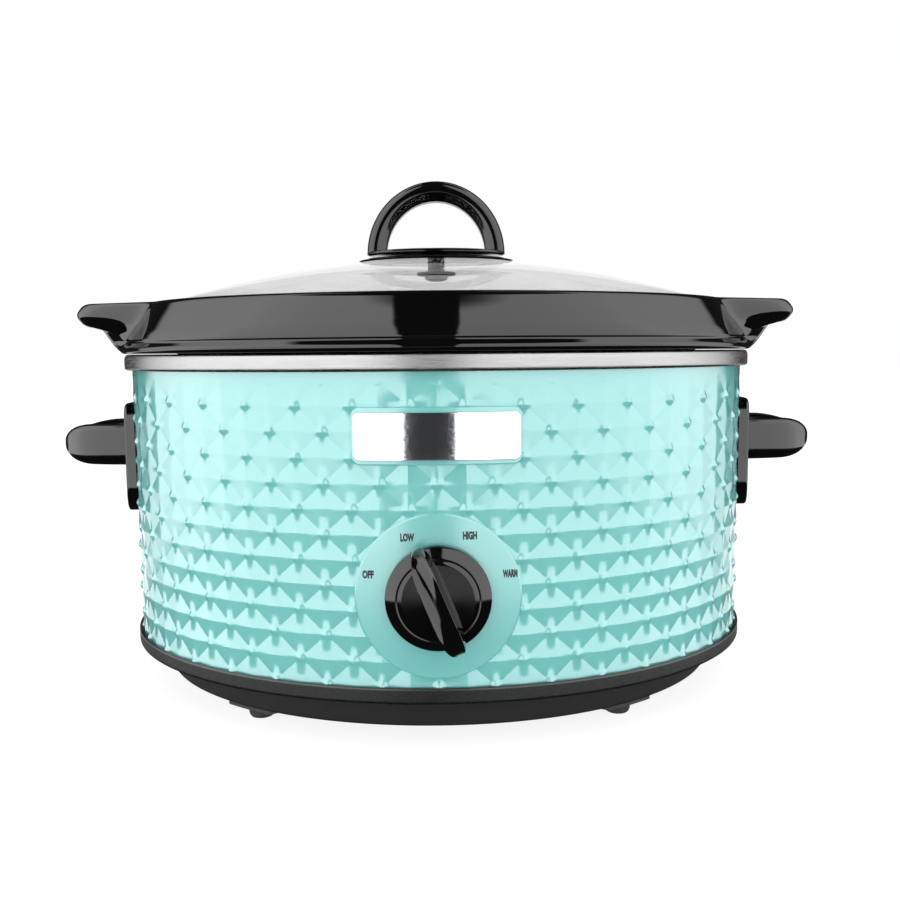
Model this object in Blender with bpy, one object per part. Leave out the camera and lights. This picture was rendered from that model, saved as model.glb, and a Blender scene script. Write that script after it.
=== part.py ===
"""Oval slow cooker: a heating base with a lift-out stoneware crock, a glass lid and a rotary heat switch.

Metres, +Z up. The feet stand on Z = 0 and the front, with the knob and the badge, faces -Y.
"""

import math

import bmesh
import bpy
from mathutils import Matrix, Vector

# Overall form of the heating base
BODY_HALF_WIDTH = 0.140
BODY_HALF_DEPTH = 0.1092
SHELL_HEIGHT = 0.1261
SHELL_WALL = 0.0008
OVAL_STEPS = 64
FIT_GAP = 0.0003

# Tray and feet
FOOT_HEIGHT = 0.0065
FOOT_RADIUS = 0.0052
FOOT_BOSS_RADIUS = 0.0135
FOOT_BOSS_DROP = 0.0018
FOOT_INSET = 0.0094
FOOT_ANGLE = math.radians(51.7)
FOOT_STEM_RADIUS = 0.0026
SKIRT_HEIGHT = 0.0113
SKIRT_INSET = 0.0110
SKIRT_INSET_BOTTOM = 0.0130
SKIRT_DEPTH_EASE = 0.0076
BAND_HEIGHT = 0.0060
BAND_PROUD = 0.0018
TRAY_WALL = 0.0020
RIB_HEIGHT = 0.0042
RIB_WALL = 0.0012

# Liner and its rolled rim
LINER_WALL = 0.0008
LINER_INSET_TOP = 0.0140
LINER_INSET_BOTTOM = 0.0220
LINER_FLOOR_RISE = 0.0213
LINER_CORNER = 0.0060
RIM_PROUD = 0.0032
RIM_DROP = 0.0068

# Crock
CROCK_CLEARANCE = 0.0060
CROCK_WALL = 0.0070
CROCK_FLOOR_CLEARANCE = 0.0030
CROCK_CORNER = 0.0080
CROCK_RIM_HEIGHT = 0.0222
CROCK_RIM_TOP_INSET = 0.0078
BEAD_PROUD = 0.0042
TAB_REACH = 0.0226
TAB_THICKNESS = 0.0098
TAB_START = 0.24
TAB_END = 0.44
LID_SEAT_DEPTH = 0.0058
LID_SEAT_INSET = 0.0108
LID_SEAT_WIDTH = 0.0070

# Lid
GLASS_THICKNESS = 0.0040
GLASS_CLEARANCE = 0.0012
GLASS_RISE = 0.0207
GLASS_CROWN = 0.16
LID_PLATE_HALF_WIDTH = 0.0363
LID_PLATE_HALF_DEPTH = 0.0230
LID_PLATE_THICKNESS = 0.0024
HANDLE_BASE_HALF_WIDTH = 0.0325
HANDLE_BASE_HALF_DEPTH = 0.0180
HANDLE_BASE_THICKNESS = 0.0030
ARCH_HALF_WIDTH = 0.0275
ARCH_HEIGHT = 0.0289
ARCH_BAR_RADIAL = 0.0094
ARCH_BAR_DEPTH = 0.0112
LID_BOSS_RADIUS = 0.0038
LID_SCREW_RADIUS = 0.0019
LID_WASHER_RADIUS = 0.0090

# Side handles
GRIP_HEIGHT = 0.0185
GRIP_BAR = 0.0098
GRIP_REACH = 0.0357
GRIP_HALF_LENGTH = 0.0255
GRIP_NOSE = 0.0180
GRIP_DROP = 0.0396
GRIP_PLATE_HEIGHT = 0.0495
GRIP_PLATE_DROP = 0.0062
GRIP_PLATE_HALF_LENGTH = 0.0275
GRIP_PLATE_CORNER = 0.0120
GRIP_PLATE_PROUD = 0.0047
GRIP_SCREW_OFFSET = 0.0185
GRIP_SCREW_RADIUS = 0.0014
GRIP_SCREW_LENGTH = 0.0085

# Badge
BADGE_HALF_WIDTH = 0.03015
BADGE_HALF_HEIGHT = 0.0086
BADGE_THICKNESS = 0.0012
BADGE_DROP = 0.0289
BADGE_PIN_SPREAD = 0.0150
BADGE_PIN_RADIUS = 0.0010
BADGE_CLIP_RADIUS = 0.0034
FRAME_HALF_WIDTH = 0.0310
FRAME_HALF_HEIGHT = 0.0105
FRAME_RAISE = 0.0010

# Dial pad, knob and rotary switch
PAD_RADIUS = 0.0310
PAD_RAISE = 0.0008
KNOB_RISE = 0.0383
KNOB_RADIUS = 0.0195
KNOB_BACK = 0.0009
KNOB_FACE = 0.0062
KNOB_RECESS_RADIUS = 0.0155
KNOB_RECESS_DEPTH = 0.0032
GRIP_BAR_HALF_LENGTH = 0.0205
GRIP_BAR_HALF_WIDTH = 0.0047
GRIP_BAR_REACH = 0.0205
KNOB_REST_ANGLE = math.radians(22.5)
SHAFT_RADIUS = 0.0025
SHAFT_FLAT = 0.0017
BUSH_RADIUS = 0.0045
BUSH_REACH = 0.0030
SWITCH_HALF_WIDTH = 0.0130
SWITCH_HALF_HEIGHT = 0.0110
SWITCH_DEPTH = 0.0130
SWITCH_NUT_RADIUS = 0.0070
SWITCH_NUT_THICKNESS = 0.0018

# Heater band, fuse and what holds the base together
HEATER_BOTTOM_RISE = 0.0620
HEATER_HEIGHT = 0.0400
HEATER_THICKNESS = 0.0020
HEATER_LUG_GAP = 0.0035
HEATER_LUG_REACH = 0.0090
HEATER_LUG_HEIGHT = 0.0120
HEATER_LUG_THICKNESS = 0.0018
CLAMP_BOLT_RADIUS = 0.0015
BOLT_SPREAD = 0.0620
BOLT_RADIUS = 0.0020
BOLT_HEAD_RADIUS = 0.0048
SPACER_RADIUS = 0.0050
SHIELD_HALF_WIDTH = 0.0980
SHIELD_HALF_DEPTH = 0.0640
SHIELD_THICKNESS = 0.0008
SHIELD_RISE = 0.0095
FUSE_RADIUS = 0.0024
FUSE_HALF_LENGTH = 0.0087
CLIP_SHEET = 0.0006
FUSE_BELOW_HEATER = 0.0110
FUSE_X = 0.0300
TERMINAL_HALF_WIDTH = 0.0150
TERMINAL_HALF_DEPTH = 0.0060
TERMINAL_HEIGHT = 0.0090
TERMINAL_WELL_RADIUS = 0.0020
LEAD_RADIUS = 0.0011

# Cord gland
GLAND_RISE = 0.0260
GLAND_RADIUS = 0.0068
GLAND_FLANGE_RADIUS = 0.0092
GLAND_FLANGE = 0.0040
GLAND_BORE_RADIUS = 0.0036

# Levels and clearances that follow from the sizes above
SKIRT_Z = FOOT_HEIGHT
BAND_Z = SKIRT_Z + SKIRT_HEIGHT
LEDGE_Z = BAND_Z + TRAY_WALL
TRAY_FLOOR_Z = SKIRT_Z + TRAY_WALL
SHELL_Z = LEDGE_Z + FIT_GAP
SHELL_TOP_Z = SHELL_Z + SHELL_HEIGHT
RIM_TOP_Z = SHELL_TOP_Z + FIT_GAP + LINER_WALL
LINER_FLOOR_Z = TRAY_FLOOR_Z + LINER_FLOOR_RISE
LINER_WALL_LOW_Z = LINER_FLOOR_Z + LINER_CORNER
LINER_WALL_TOP_Z = RIM_TOP_Z - 0.0038
CROCK_REST_Z = RIM_TOP_Z + FIT_GAP
CROCK_BOTTOM_Z = LINER_FLOOR_Z + CROCK_FLOOR_CLEARANCE
CROCK_TOP_Z = CROCK_REST_Z + CROCK_RIM_HEIGHT
LID_SEAT_Z = CROCK_TOP_Z - LID_SEAT_DEPTH
GLASS_EDGE_Z = LID_SEAT_Z + FIT_GAP
GLASS_TOP_Z = GLASS_EDGE_Z + GLASS_THICKNESS + GLASS_RISE
LID_PLATE_Z = GLASS_TOP_Z + FIT_GAP
HANDLE_BASE_Z = LID_PLATE_Z + LID_PLATE_THICKNESS + FIT_GAP
KNOB_Z = SHELL_Z + KNOB_RISE
GRIP_Z = SHELL_TOP_Z - GRIP_DROP
BADGE_Z = SHELL_TOP_Z - BADGE_DROP
GLAND_Z = SHELL_Z + GLAND_RISE
HEATER_Z = SHELL_Z + HEATER_BOTTOM_RISE
PAD_FACE = BODY_HALF_DEPTH + PAD_RAISE
FRONT_REACH = PAD_FACE + GRIP_BAR_REACH
REAR_REACH = BODY_HALF_DEPTH + max(GLAND_FLANGE + FIT_GAP, BEAD_PROUD)
BODY_Y = (FRONT_REACH - REAR_REACH) / 2
BORE_GAP = FIT_GAP + 0.0001
OUTWARD = Matrix.Rotation(math.pi / 2, 4, "X")
UP = (0, 0, 1)
FRONT = (0, -1, 0)
REAR = (0, 1, 0)


def clear_scene():
    for old in list(bpy.data.objects):
        bpy.data.objects.remove(old, do_unlink=True)


def finish_material(name, colour, roughness, metallic=0.0):
    """A Principled material, made once and shared by the pieces of that finish."""
    made = bpy.data.materials.get(name) or bpy.data.materials.new(name)
    made.use_nodes = True
    shader = made.node_tree.nodes["Principled BSDF"]
    shader.inputs["Base Color"].default_value = (*colour, 1.0)
    shader.inputs["Roughness"].default_value = roughness
    shader.inputs["Metallic"].default_value = metallic
    return made


FINISHES = {
    "enamel": ((0.24, 0.66, 0.60), 0.30),
    "tray_plastic": ((0.02, 0.02, 0.02), 0.45),
    "gloss_plastic": ((0.008, 0.008, 0.008), 0.15),
    "stoneware": ((0.01, 0.01, 0.01), 0.08),
    "rubber": ((0.02, 0.02, 0.02), 0.80),
    "glass": ((0.85, 0.90, 0.90), 0.02),
    "aluminium": ((0.75, 0.75, 0.74), 0.35, 1.0),
    "chrome": ((0.80, 0.82, 0.85), 0.08, 1.0),
    "steel": ((0.60, 0.60, 0.60), 0.40, 1.0),
    "mica": ((0.70, 0.66, 0.55), 0.70),
    "switch_plastic": ((0.75, 0.73, 0.68), 0.50),
    "lead_red": ((0.45, 0.05, 0.04), 0.50),
    "lead_white": ((0.80, 0.80, 0.78), 0.50),
    "silicone": ((0.70, 0.70, 0.68), 0.60),
}


def circle(radius, z, steps):
    turn = 2 * math.pi / steps
    return [Vector((radius * math.cos(i * turn), radius * math.sin(i * turn), z)) for i in range(steps)]


def hexagon(radius, z):
    """Twelve points round a hexagon whose corners lie on the radius: corners and edge middles in turn."""
    flat = radius * math.cos(math.pi / 6)
    reach = [radius if i % 2 == 0 else flat for i in range(12)]
    turn = math.pi / 6
    return [Vector((r * math.cos(i * turn), r * math.sin(i * turn), z)) for i, r in enumerate(reach)]


def ellipse(half_x, half_y, z, steps=OVAL_STEPS):
    turn = 2 * math.pi / steps
    return [Vector((half_x * math.cos(i * turn), half_y * math.sin(i * turn), z)) for i in range(steps)]


def oval(offset, z):
    """A level loop that stands this far outside the shell's outer face; a negative offset lies inside."""
    return ellipse(BODY_HALF_WIDTH + offset, BODY_HALF_DEPTH + offset, z)


def rounded_rectangle(half_u, half_v, corner, steps=4):
    """Outline points in a plane, counter-clockwise."""
    points = []
    for quarter, (sign_u, sign_v) in enumerate(((1, 1), (-1, 1), (-1, -1), (1, -1))):
        for i in range(steps + 1):
            angle = math.pi / 2 * (quarter + i / steps)
            u = sign_u * (half_u - corner) + corner * math.cos(angle)
            v = sign_v * (half_v - corner) + corner * math.sin(angle)
            points.append((u, v))
    return points


def add_object(name, mesh_data, finish, parent):
    made = bpy.data.objects.new(name, mesh_data)
    bpy.context.scene.collection.objects.link(made)
    if finish:
        mesh_data.materials.append(finish_material(finish, *FINISHES[finish]))
    made.parent = parent
    return made


def nut(name, corner, hole, low, high, parent, place=None):
    """A hexagon nut whose corners lie on the corner radius."""
    loops = [hexagon(corner, low), hexagon(corner, high), circle(hole, high, 12), circle(hole, low, 12)]
    skin(name, loops, "steel", parent, True, place)


def skin(name, loops, finish, parent, ring=False, place=None):
    """A solid skinned over matching loops: capped at its ends, or joined last to first as a ring."""
    mesh_data = bpy.data.meshes.new(name)
    built = bmesh.new()
    rows = [[built.verts.new(point) for point in loop] for loop in loops]
    steps = len(rows[0])
    pairs = list(zip(rows, rows[1:]))
    if ring:
        pairs.append((rows[-1], rows[0]))
    for low, high in pairs:
        for i in range(steps):
            j = (i + 1) % steps
            built.faces.new((low[i], low[j], high[j], high[i]))
    if not ring:
        built.faces.new(rows[0])
        built.faces.new(rows[-1])
    if place is not None:
        bmesh.ops.transform(built, matrix=place, verts=built.verts)
    bmesh.ops.recalc_face_normals(built, faces=built.faces)
    built.to_mesh(mesh_data)
    built.free()
    mesh_data.shade_smooth()
    mesh_data.set_sharp_from_angle(angle=math.radians(35))
    return add_object(name, mesh_data, finish, parent)


def turned(name, profile, finish, parent, steps=16, ring=False, place=None):
    """A round piece from (radius, height) steps along its axis."""
    loops = [circle(radius, z, steps) for radius, z in profile]
    return skin(name, loops, finish, parent, ring, place)


def as_cutter(made):
    made.hide_render = True
    made.display_type = "WIRE"
    return made


def combine(target, other, operation):
    as_cutter(other)
    step = target.modifiers.new(other.name, "BOOLEAN")
    step.operation = operation
    step.solver = "EXACT"
    step.object = other
    return target


def prism(name, outline, start, end, place, parent):
    """A straight block with the outline's shape, used to trim other pieces."""
    loops = [[Vector((u, v, z)) for u, v in outline] for z in (start, end)]
    return as_cutter(skin(name, loops, None, parent, place=place))


def along(direction, centre):
    """Places a piece made along local Z so that it lies along the direction from the centre."""
    turn = Vector((0, 0, 1)).rotation_difference(Vector(direction)).to_matrix().to_4x4()
    return Matrix.Translation(centre) @ turn


def bore(target, name, centre, direction, radius, start, end, steps=16):
    """A round hole through the target, from start to end along the direction."""
    ends = [(radius, start), (radius, end)]
    cutter = turned(f"{name}_cutter", ends, None, target.parent, steps, place=along(direction, centre))
    return combine(target, cutter, "DIFFERENCE")


def bolt_holes(target, z):
    """The two clearance holes for the bolts that run from the liner down through the tray."""
    for side in (-1, 1):
        centre = (side * BOLT_SPREAD, 0, z)
        bore(target, f"{target.name}_bolt_hole_{side + 1}", centre, UP, BOLT_RADIUS + BORE_GAP, -0.004, 0.004)


def wall_point(x, offset=0.0):
    """The point on the front of the oval at this x, and the outward direction there."""
    half_x = BODY_HALF_WIDTH + offset
    half_y = BODY_HALF_DEPTH + offset
    y = -half_y * math.sqrt(1 - (x / half_x) ** 2)
    return Vector((x, y, 0)), Vector((x / half_x ** 2, y / half_y ** 2, 0)).normalized()


def side_point(y, side, offset=0.0):
    """The point on the end of the oval at this y, and the outward direction there."""
    half_x = BODY_HALF_WIDTH + offset
    half_y = BODY_HALF_DEPTH + offset
    x = side * half_x * math.sqrt(1 - (y / half_y) ** 2)
    return Vector((x, y, 0)), Vector((x / half_x ** 2, y / half_y ** 2, 0)).normalized()


def liner_offset(z):
    """How far the liner's outer face stands from the shell's outer face at this height: it tapers down."""
    share = (z - LINER_WALL_LOW_Z) / (LINER_WALL_TOP_Z - LINER_WALL_LOW_Z)
    inner = LINER_INSET_BOTTOM + (LINER_INSET_TOP - LINER_INSET_BOTTOM) * share
    return LINER_WALL - inner


# Tray and feet


def foot_places():
    """Where the four feet stand, just inside the skirt."""
    inset = SKIRT_INSET_BOTTOM + FOOT_INSET
    span_x = (BODY_HALF_WIDTH - inset) * math.cos(FOOT_ANGLE)
    span_y = (BODY_HALF_DEPTH - inset + SKIRT_DEPTH_EASE) * math.sin(FOOT_ANGLE)
    return {f"foot_{end}_{side}": (sx * span_x, sy * span_y)
            for end, sy in (("front", -1), ("rear", 1)) for side, sx in (("left", -1), ("right", 1))}


def tray_oval(inset, ease, z):
    return ellipse(BODY_HALF_WIDTH - inset, BODY_HALF_DEPTH - inset + ease, z)


def base_tray(root):
    ease = SKIRT_DEPTH_EASE
    rib_outer = -(SHELL_WALL + FIT_GAP)
    loops = [
        tray_oval(SKIRT_INSET_BOTTOM + 0.0010, ease, SKIRT_Z),
        tray_oval(SKIRT_INSET_BOTTOM, ease, SKIRT_Z + 0.0008),
        tray_oval(SKIRT_INSET, ease, BAND_Z),
        oval(BAND_PROUD - 0.0006, BAND_Z),
        oval(BAND_PROUD, BAND_Z + 0.0006),
        oval(BAND_PROUD, BAND_Z + BAND_HEIGHT - 0.0004),
        oval(BAND_PROUD - 0.0004, BAND_Z + BAND_HEIGHT),
        oval(FIT_GAP, BAND_Z + BAND_HEIGHT),
        oval(FIT_GAP, LEDGE_Z),
        oval(rib_outer, LEDGE_Z),
        oval(rib_outer, LEDGE_Z + RIB_HEIGHT),
        oval(rib_outer - RIB_WALL, LEDGE_Z + RIB_HEIGHT),
        oval(rib_outer - RIB_WALL, LEDGE_Z),
        tray_oval(SKIRT_INSET + TRAY_WALL, ease, LEDGE_Z),
        tray_oval(SKIRT_INSET_BOTTOM + TRAY_WALL, ease, TRAY_FLOOR_Z),
    ]
    tray = skin("base_tray", loops, "tray_plastic", root)
    for name, (x, y) in foot_places().items():
        at = Matrix.Translation((x, y, 0))
        levels = (SKIRT_Z - FOOT_BOSS_DROP, TRAY_FLOOR_Z - TRAY_WALL / 2)
        boss = turned(f"{name}_boss", [(FOOT_BOSS_RADIUS, z) for z in levels], None, root, 20, place=at)
        under_skirt = [tray_oval(SKIRT_INSET_BOTTOM + 0.0014, ease, z) for z in (0, TRAY_FLOOR_Z)]
        combine(boss, skin(f"{name}_trim", under_skirt, None, root), "INTERSECT")
        combine(tray, boss, "UNION")
        hole = FOOT_STEM_RADIUS + BORE_GAP
        bore(tray, f"{name}_hole", (x, y, 0), UP, hole, 0, TRAY_FLOOR_Z + TRAY_WALL)
    bolt_holes(tray, TRAY_FLOOR_Z)


def feet(root):
    under = SKIRT_Z - FOOT_BOSS_DROP - FIT_GAP
    over = TRAY_FLOOR_Z + FIT_GAP
    profile = [
        (FOOT_RADIUS - 0.0007, 0.0),
        (FOOT_RADIUS, 0.0010),
        (FOOT_RADIUS + 0.0004, under),
        (FOOT_STEM_RADIUS, under),
        (FOOT_STEM_RADIUS, over),
        (FOOT_STEM_RADIUS + 0.0016, over + 0.0002),
        (FOOT_STEM_RADIUS, over + 0.0030),
    ]
    for name, (x, y) in foot_places().items():
        turned(name, profile, "rubber", root, place=Matrix.Translation((x, y, 0)))


# Outer shell


def wall_patch(name, inner, outer, outline, centre, facing, finish, root):
    """The part of a wall, between two offsets, that lies behind an outline on its front or its ends."""
    half_z = max(v for _, v in outline) + 0.004
    low, high = centre[2] - half_z, centre[2] + half_z
    loops = [oval(outer, low), oval(outer, high), oval(inner, high), oval(inner, low)]
    patch = skin(name, loops, finish, root, ring=True)
    reach = BODY_HALF_WIDTH + BODY_HALF_DEPTH
    turn = OUTWARD if facing == "front" else Matrix.Rotation(facing * math.pi / 2, 4, "Z") @ OUTWARD
    block = prism(f"{name}_outline", outline, 0.02, reach, Matrix.Translation(centre) @ turn, root)
    return combine(patch, block, "INTERSECT")


def outer_shell(root):
    loops = [
        oval(0, SHELL_Z),
        oval(0, SHELL_TOP_Z),
        oval(-SHELL_WALL, SHELL_TOP_Z),
        oval(-SHELL_WALL, SHELL_Z),
    ]
    shell = skin("outer_shell", loops, "enamel", root, ring=True)
    middle = -SHELL_WALL / 2
    pad_outline = [(p.x, p.y) for p in circle(PAD_RADIUS, 0, 40)]
    frame_outline = rounded_rectangle(FRAME_HALF_WIDTH, FRAME_HALF_HEIGHT, 0.0030)
    for name, outline, z, raised in (("dial_pad", pad_outline, KNOB_Z, PAD_RAISE),
                                     ("badge_frame", frame_outline, BADGE_Z, FRAME_RAISE)):
        combine(shell, wall_patch(name, middle, raised, outline, (0, 0, z), "front", None, root), "UNION")
    near = BODY_HALF_DEPTH / 2
    far = BODY_HALF_DEPTH * 1.2
    bore(shell, "switch_hole", (0, 0, KNOB_Z), FRONT, BUSH_RADIUS + BORE_GAP, near, far)
    for side in (-1, 1):
        centre = (side * BADGE_PIN_SPREAD, 0, BADGE_Z)
        bore(shell, f"badge_pin_hole_{side + 1}", centre, FRONT, BADGE_PIN_RADIUS + BORE_GAP, near, far, 12)
    for side, end, centre, out in screw_places():
        hole = GRIP_SCREW_RADIUS + BORE_GAP
        bore(shell, f"grip_hole_{side}_{end}", centre, out, hole, -0.02, 0.02, 12)
    bore(shell, "gland_hole", (0, 0, GLAND_Z), REAR, GLAND_RADIUS + BORE_GAP, near, far, 20)


# Liner, heater and inner frame


def heating_liner(root):
    inner_top = -LINER_INSET_TOP
    inner_low = -LINER_INSET_BOTTOM
    rim_inner = FIT_GAP
    under = RIM_TOP_Z - LINER_WALL
    loops = [
        oval(inner_low - LINER_CORNER, LINER_FLOOR_Z),
        oval(inner_low - LINER_CORNER * 0.29, LINER_FLOOR_Z + LINER_CORNER * 0.29),
        oval(inner_low, LINER_WALL_LOW_Z),
        oval(inner_top, LINER_WALL_TOP_Z),
        oval(inner_top + 0.0035, RIM_TOP_Z),
        oval(RIM_PROUD - 0.0018, RIM_TOP_Z),
        oval(RIM_PROUD, RIM_TOP_Z - 0.0020),
        oval(RIM_PROUD, RIM_TOP_Z - RIM_DROP + 0.0014),
        oval(RIM_PROUD - 0.0014, RIM_TOP_Z - RIM_DROP),
        oval(rim_inner, RIM_TOP_Z - RIM_DROP + 0.0005),
        oval(rim_inner, under),
        oval(inner_top + 0.0038, under),
        oval(inner_top + LINER_WALL, LINER_WALL_TOP_Z),
        oval(inner_low + LINER_WALL, LINER_WALL_LOW_Z),
        oval(inner_low + LINER_WALL - LINER_CORNER * 0.29, LINER_FLOOR_Z + LINER_CORNER * 0.29 - 0.0005),
        oval(inner_low - LINER_CORNER, LINER_FLOOR_Z - LINER_WALL),
    ]
    liner = skin("heating_liner", loops, "aluminium", root)
    bolt_holes(liner, LINER_FLOOR_Z)


def heat_shield(root):
    low = TRAY_FLOOR_Z + SHIELD_RISE
    loops = [ellipse(SHIELD_HALF_WIDTH, SHIELD_HALF_DEPTH, z) for z in (low, low + SHIELD_THICKNESS)]
    shield = skin("heat_shield", loops, "steel", root)
    bolt_holes(shield, low)


def liner_fixings(root):
    shield_low = TRAY_FLOOR_Z + SHIELD_RISE
    shield_high = shield_low + SHIELD_THICKNESS
    liner_under = LINER_FLOOR_Z - LINER_WALL
    hole = BOLT_RADIUS + BORE_GAP
    head_low = LINER_FLOOR_Z + FIT_GAP
    nut_top = SKIRT_Z - FIT_GAP
    bolt = [
        (BOLT_RADIUS, nut_top - 0.0032),
        (BOLT_RADIUS, head_low),
        (BOLT_HEAD_RADIUS, head_low),
        (BOLT_HEAD_RADIUS * 0.93, head_low + 0.0009),
        (BOLT_HEAD_RADIUS * 0.60, head_low + 0.0016),
    ]
    for side, word in ((-1, "left"), (1, "right")):
        at = Matrix.Translation((side * BOLT_SPREAD, 0, 0))
        turned(f"liner_bolt_{word}", bolt, "steel", root, place=at)
        for level, low, high in (("lower", TRAY_FLOOR_Z, shield_low), ("upper", shield_high, liner_under)):
            ends = (low + FIT_GAP, high - FIT_GAP)
            sleeve = [(SPACER_RADIUS, ends[0]), (SPACER_RADIUS, ends[1]), (hole, ends[1]), (hole, ends[0])]
            turned(f"spacer_{level}_{word}", sleeve, "steel", root, ring=True, place=at)
        nut(f"liner_nut_{word}", 0.0042, hole, nut_top - 0.0026, nut_top, root, at)


def heater_band(root):
    """A mica and steel band round the liner, open at the rear where its two lugs are drawn together."""
    top = HEATER_Z + HEATER_HEIGHT
    step = 2 * math.pi / OVAL_STEPS
    lug_out = HEATER_LUG_GAP + HEATER_LUG_THICKNESS
    first = math.pi / 2 + math.asin(lug_out / BODY_HALF_WIDTH)
    last = math.pi * 5 / 2 - math.asin(lug_out / BODY_HALF_WIDTH)
    between = [i * step for i in range(OVAL_STEPS * 2) if first + step / 4 < i * step < last - step / 4]
    angles = [first, *between, last]
    loops = []
    for angle in angles:
        section = []
        for z, thickness in ((HEATER_Z, 0), (HEATER_Z, HEATER_THICKNESS), (top, HEATER_THICKNESS), (top, 0)):
            offset = liner_offset(z) + FIT_GAP + thickness
            x = (BODY_HALF_WIDTH + offset) * math.cos(angle)
            y = (BODY_HALF_DEPTH + offset) * math.sin(angle)
            section.append(Vector((x, y, z)))
        loops.append(section)
    band = skin("heater_band", loops, "mica", root)
    middle = HEATER_Z + HEATER_HEIGHT / 2
    y = BODY_HALF_DEPTH + liner_offset(middle) + FIT_GAP + HEATER_THICKNESS / 2
    for side in (-1, 1):
        half = HEATER_LUG_HEIGHT / 2
        outline = [(y, -half), (y + HEATER_LUG_REACH, -half), (y + HEATER_LUG_REACH, half), (y, half)]
        near, far = sorted((side * HEATER_LUG_GAP, side * (lug_out + 0.0004)))
        loops = [[Vector((x, v, middle + w)) for v, w in outline] for x in (near, far)]
        combine(band, skin(f"heater_lug_{side + 1}", loops, None, root), "UNION")
    bolt_y = y + HEATER_LUG_REACH * 0.62
    bore(band, "clamp_hole", (0, bolt_y, middle), (1, 0, 0), CLAMP_BOLT_RADIUS + BORE_GAP, -0.012, 0.012, 12)
    clamp_fixings(root, bolt_y, middle, HEATER_LUG_GAP + HEATER_LUG_THICKNESS + 0.0004)


def clamp_fixings(root, y, z, lug_face):
    head = lug_face + FIT_GAP
    place = along((1, 0, 0), (0, y, z))
    profile = [
        (CLAMP_BOLT_RADIUS, -head - 0.0030),
        (CLAMP_BOLT_RADIUS, head),
        (0.0028, head),
        (0.0026, head + 0.0012),
        (0.0016, head + 0.0018),
    ]
    turned("clamp_bolt", profile, "steel", root, 12, place=place)
    hole = CLAMP_BOLT_RADIUS + BORE_GAP
    nut("clamp_nut", 0.0031, hole, -head - 0.0022, -head, root, place)


def fuse_place():
    """The middle of the thermal fuse, the way out from the liner there, and the way along the fuse."""
    z = HEATER_Z - FUSE_BELOW_HEATER
    wall, out = wall_point(FUSE_X, liner_offset(z))
    wall.y, out.y = -wall.y, -out.y
    centre = wall + out * (0.0003 + CLIP_SHEET + 2 * FIT_GAP + FUSE_RADIUS)
    centre.z = z
    return centre, out, Vector(UP).cross(out)


def thermal_fuse(root):
    """A small cut-out in a steel clip on the rear of the liner, under the heater band."""
    centre, out, tangent = fuse_place()
    profile = [
        (FUSE_RADIUS * 0.5, -FUSE_HALF_LENGTH),
        (FUSE_RADIUS, -FUSE_HALF_LENGTH + 0.0012),
        (FUSE_RADIUS, FUSE_HALF_LENGTH - 0.0012),
        (FUSE_RADIUS * 0.5, FUSE_HALF_LENGTH),
    ]
    turned("thermal_fuse", profile, "switch_plastic", root, 12, place=along(tangent, centre))
    half = FUSE_RADIUS + FIT_GAP
    sheet = half + CLIP_SHEET
    lip = half + 0.0012
    section = [(-sheet, lip), (-sheet, -sheet), (sheet, -sheet), (sheet, lip),
               (half, lip), (half, -half), (-half, -half), (-half, lip)]
    turn = Matrix((tangent, Vector(UP), out)).transposed().to_4x4()
    place = Matrix.Translation(centre) @ turn
    loops = [[Vector((along_fuse, up, reach)) for up, reach in section] for along_fuse in (-0.004, 0.004)]
    skin("fuse_clip", loops, "steel", root, place=place)


def terminal_block(root):
    low = TRAY_FLOOR_Z + FIT_GAP
    y = terminal_y()
    outline = rounded_rectangle(TERMINAL_HALF_WIDTH, TERMINAL_HALF_DEPTH, 0.0012, 2)
    loops = [[Vector((u, y + v, z)) for u, v in outline] for z in (low, low + TERMINAL_HEIGHT)]
    block = skin("terminal_block", loops, "switch_plastic", root)
    half = TERMINAL_HEIGHT / 2
    for name, x in terminal_wells().items():
        bore(block, name, (x, y, low), UP, TERMINAL_WELL_RADIUS, half, TERMINAL_HEIGHT * 2, 12)


def terminal_y():
    return (SHIELD_HALF_DEPTH + BODY_HALF_DEPTH - SKIRT_INSET_BOTTOM + SKIRT_DEPTH_EASE) / 2


def terminal_wells():
    return {"live_well": -TERMINAL_HALF_WIDTH * 0.6, "neutral_well": TERMINAL_HALF_WIDTH * 0.6}


def lead(name, points, finish, root):
    """An insulated wire along a smooth curve through its points."""
    curve = bpy.data.curves.new(name, "CURVE")
    curve.dimensions = "3D"
    curve.bevel_depth = LEAD_RADIUS
    curve.bevel_resolution = 1
    curve.use_fill_caps = True
    run = curve.splines.new("POLY")
    run.points.add(len(points) - 1)
    for spot, point in zip(run.points, points):
        spot.co = (*point, 1.0)
    add_object(name, curve, finish, root)


def smooth_run(stops, steps):
    """Points along a smooth curve through the stops, with no overshoot between a long and a short span."""
    stops = [Vector(stop) for stop in stops]
    before = [stops[0] * 2 - stops[1], *stops[:-1]]
    after = [*stops[1:], stops[-1] * 2 - stops[-2]]
    ways = [(b - a).normalized() for a, b in zip(before, after)]
    points = []
    for start, end, way_out, way_in in zip(stops, stops[1:], ways, ways[1:]):
        length = (end - start).length
        for i in range(steps):
            t = i / steps
            ease = t * t * (3 - 2 * t)
            lean_out = way_out * length * t * (1 - t) ** 2
            lean_in = way_in * length * t * t * (t - 1)
            points.append(start + (end - start) * ease + lean_out + lean_in)
    return [*points, stops[-1]]


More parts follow.
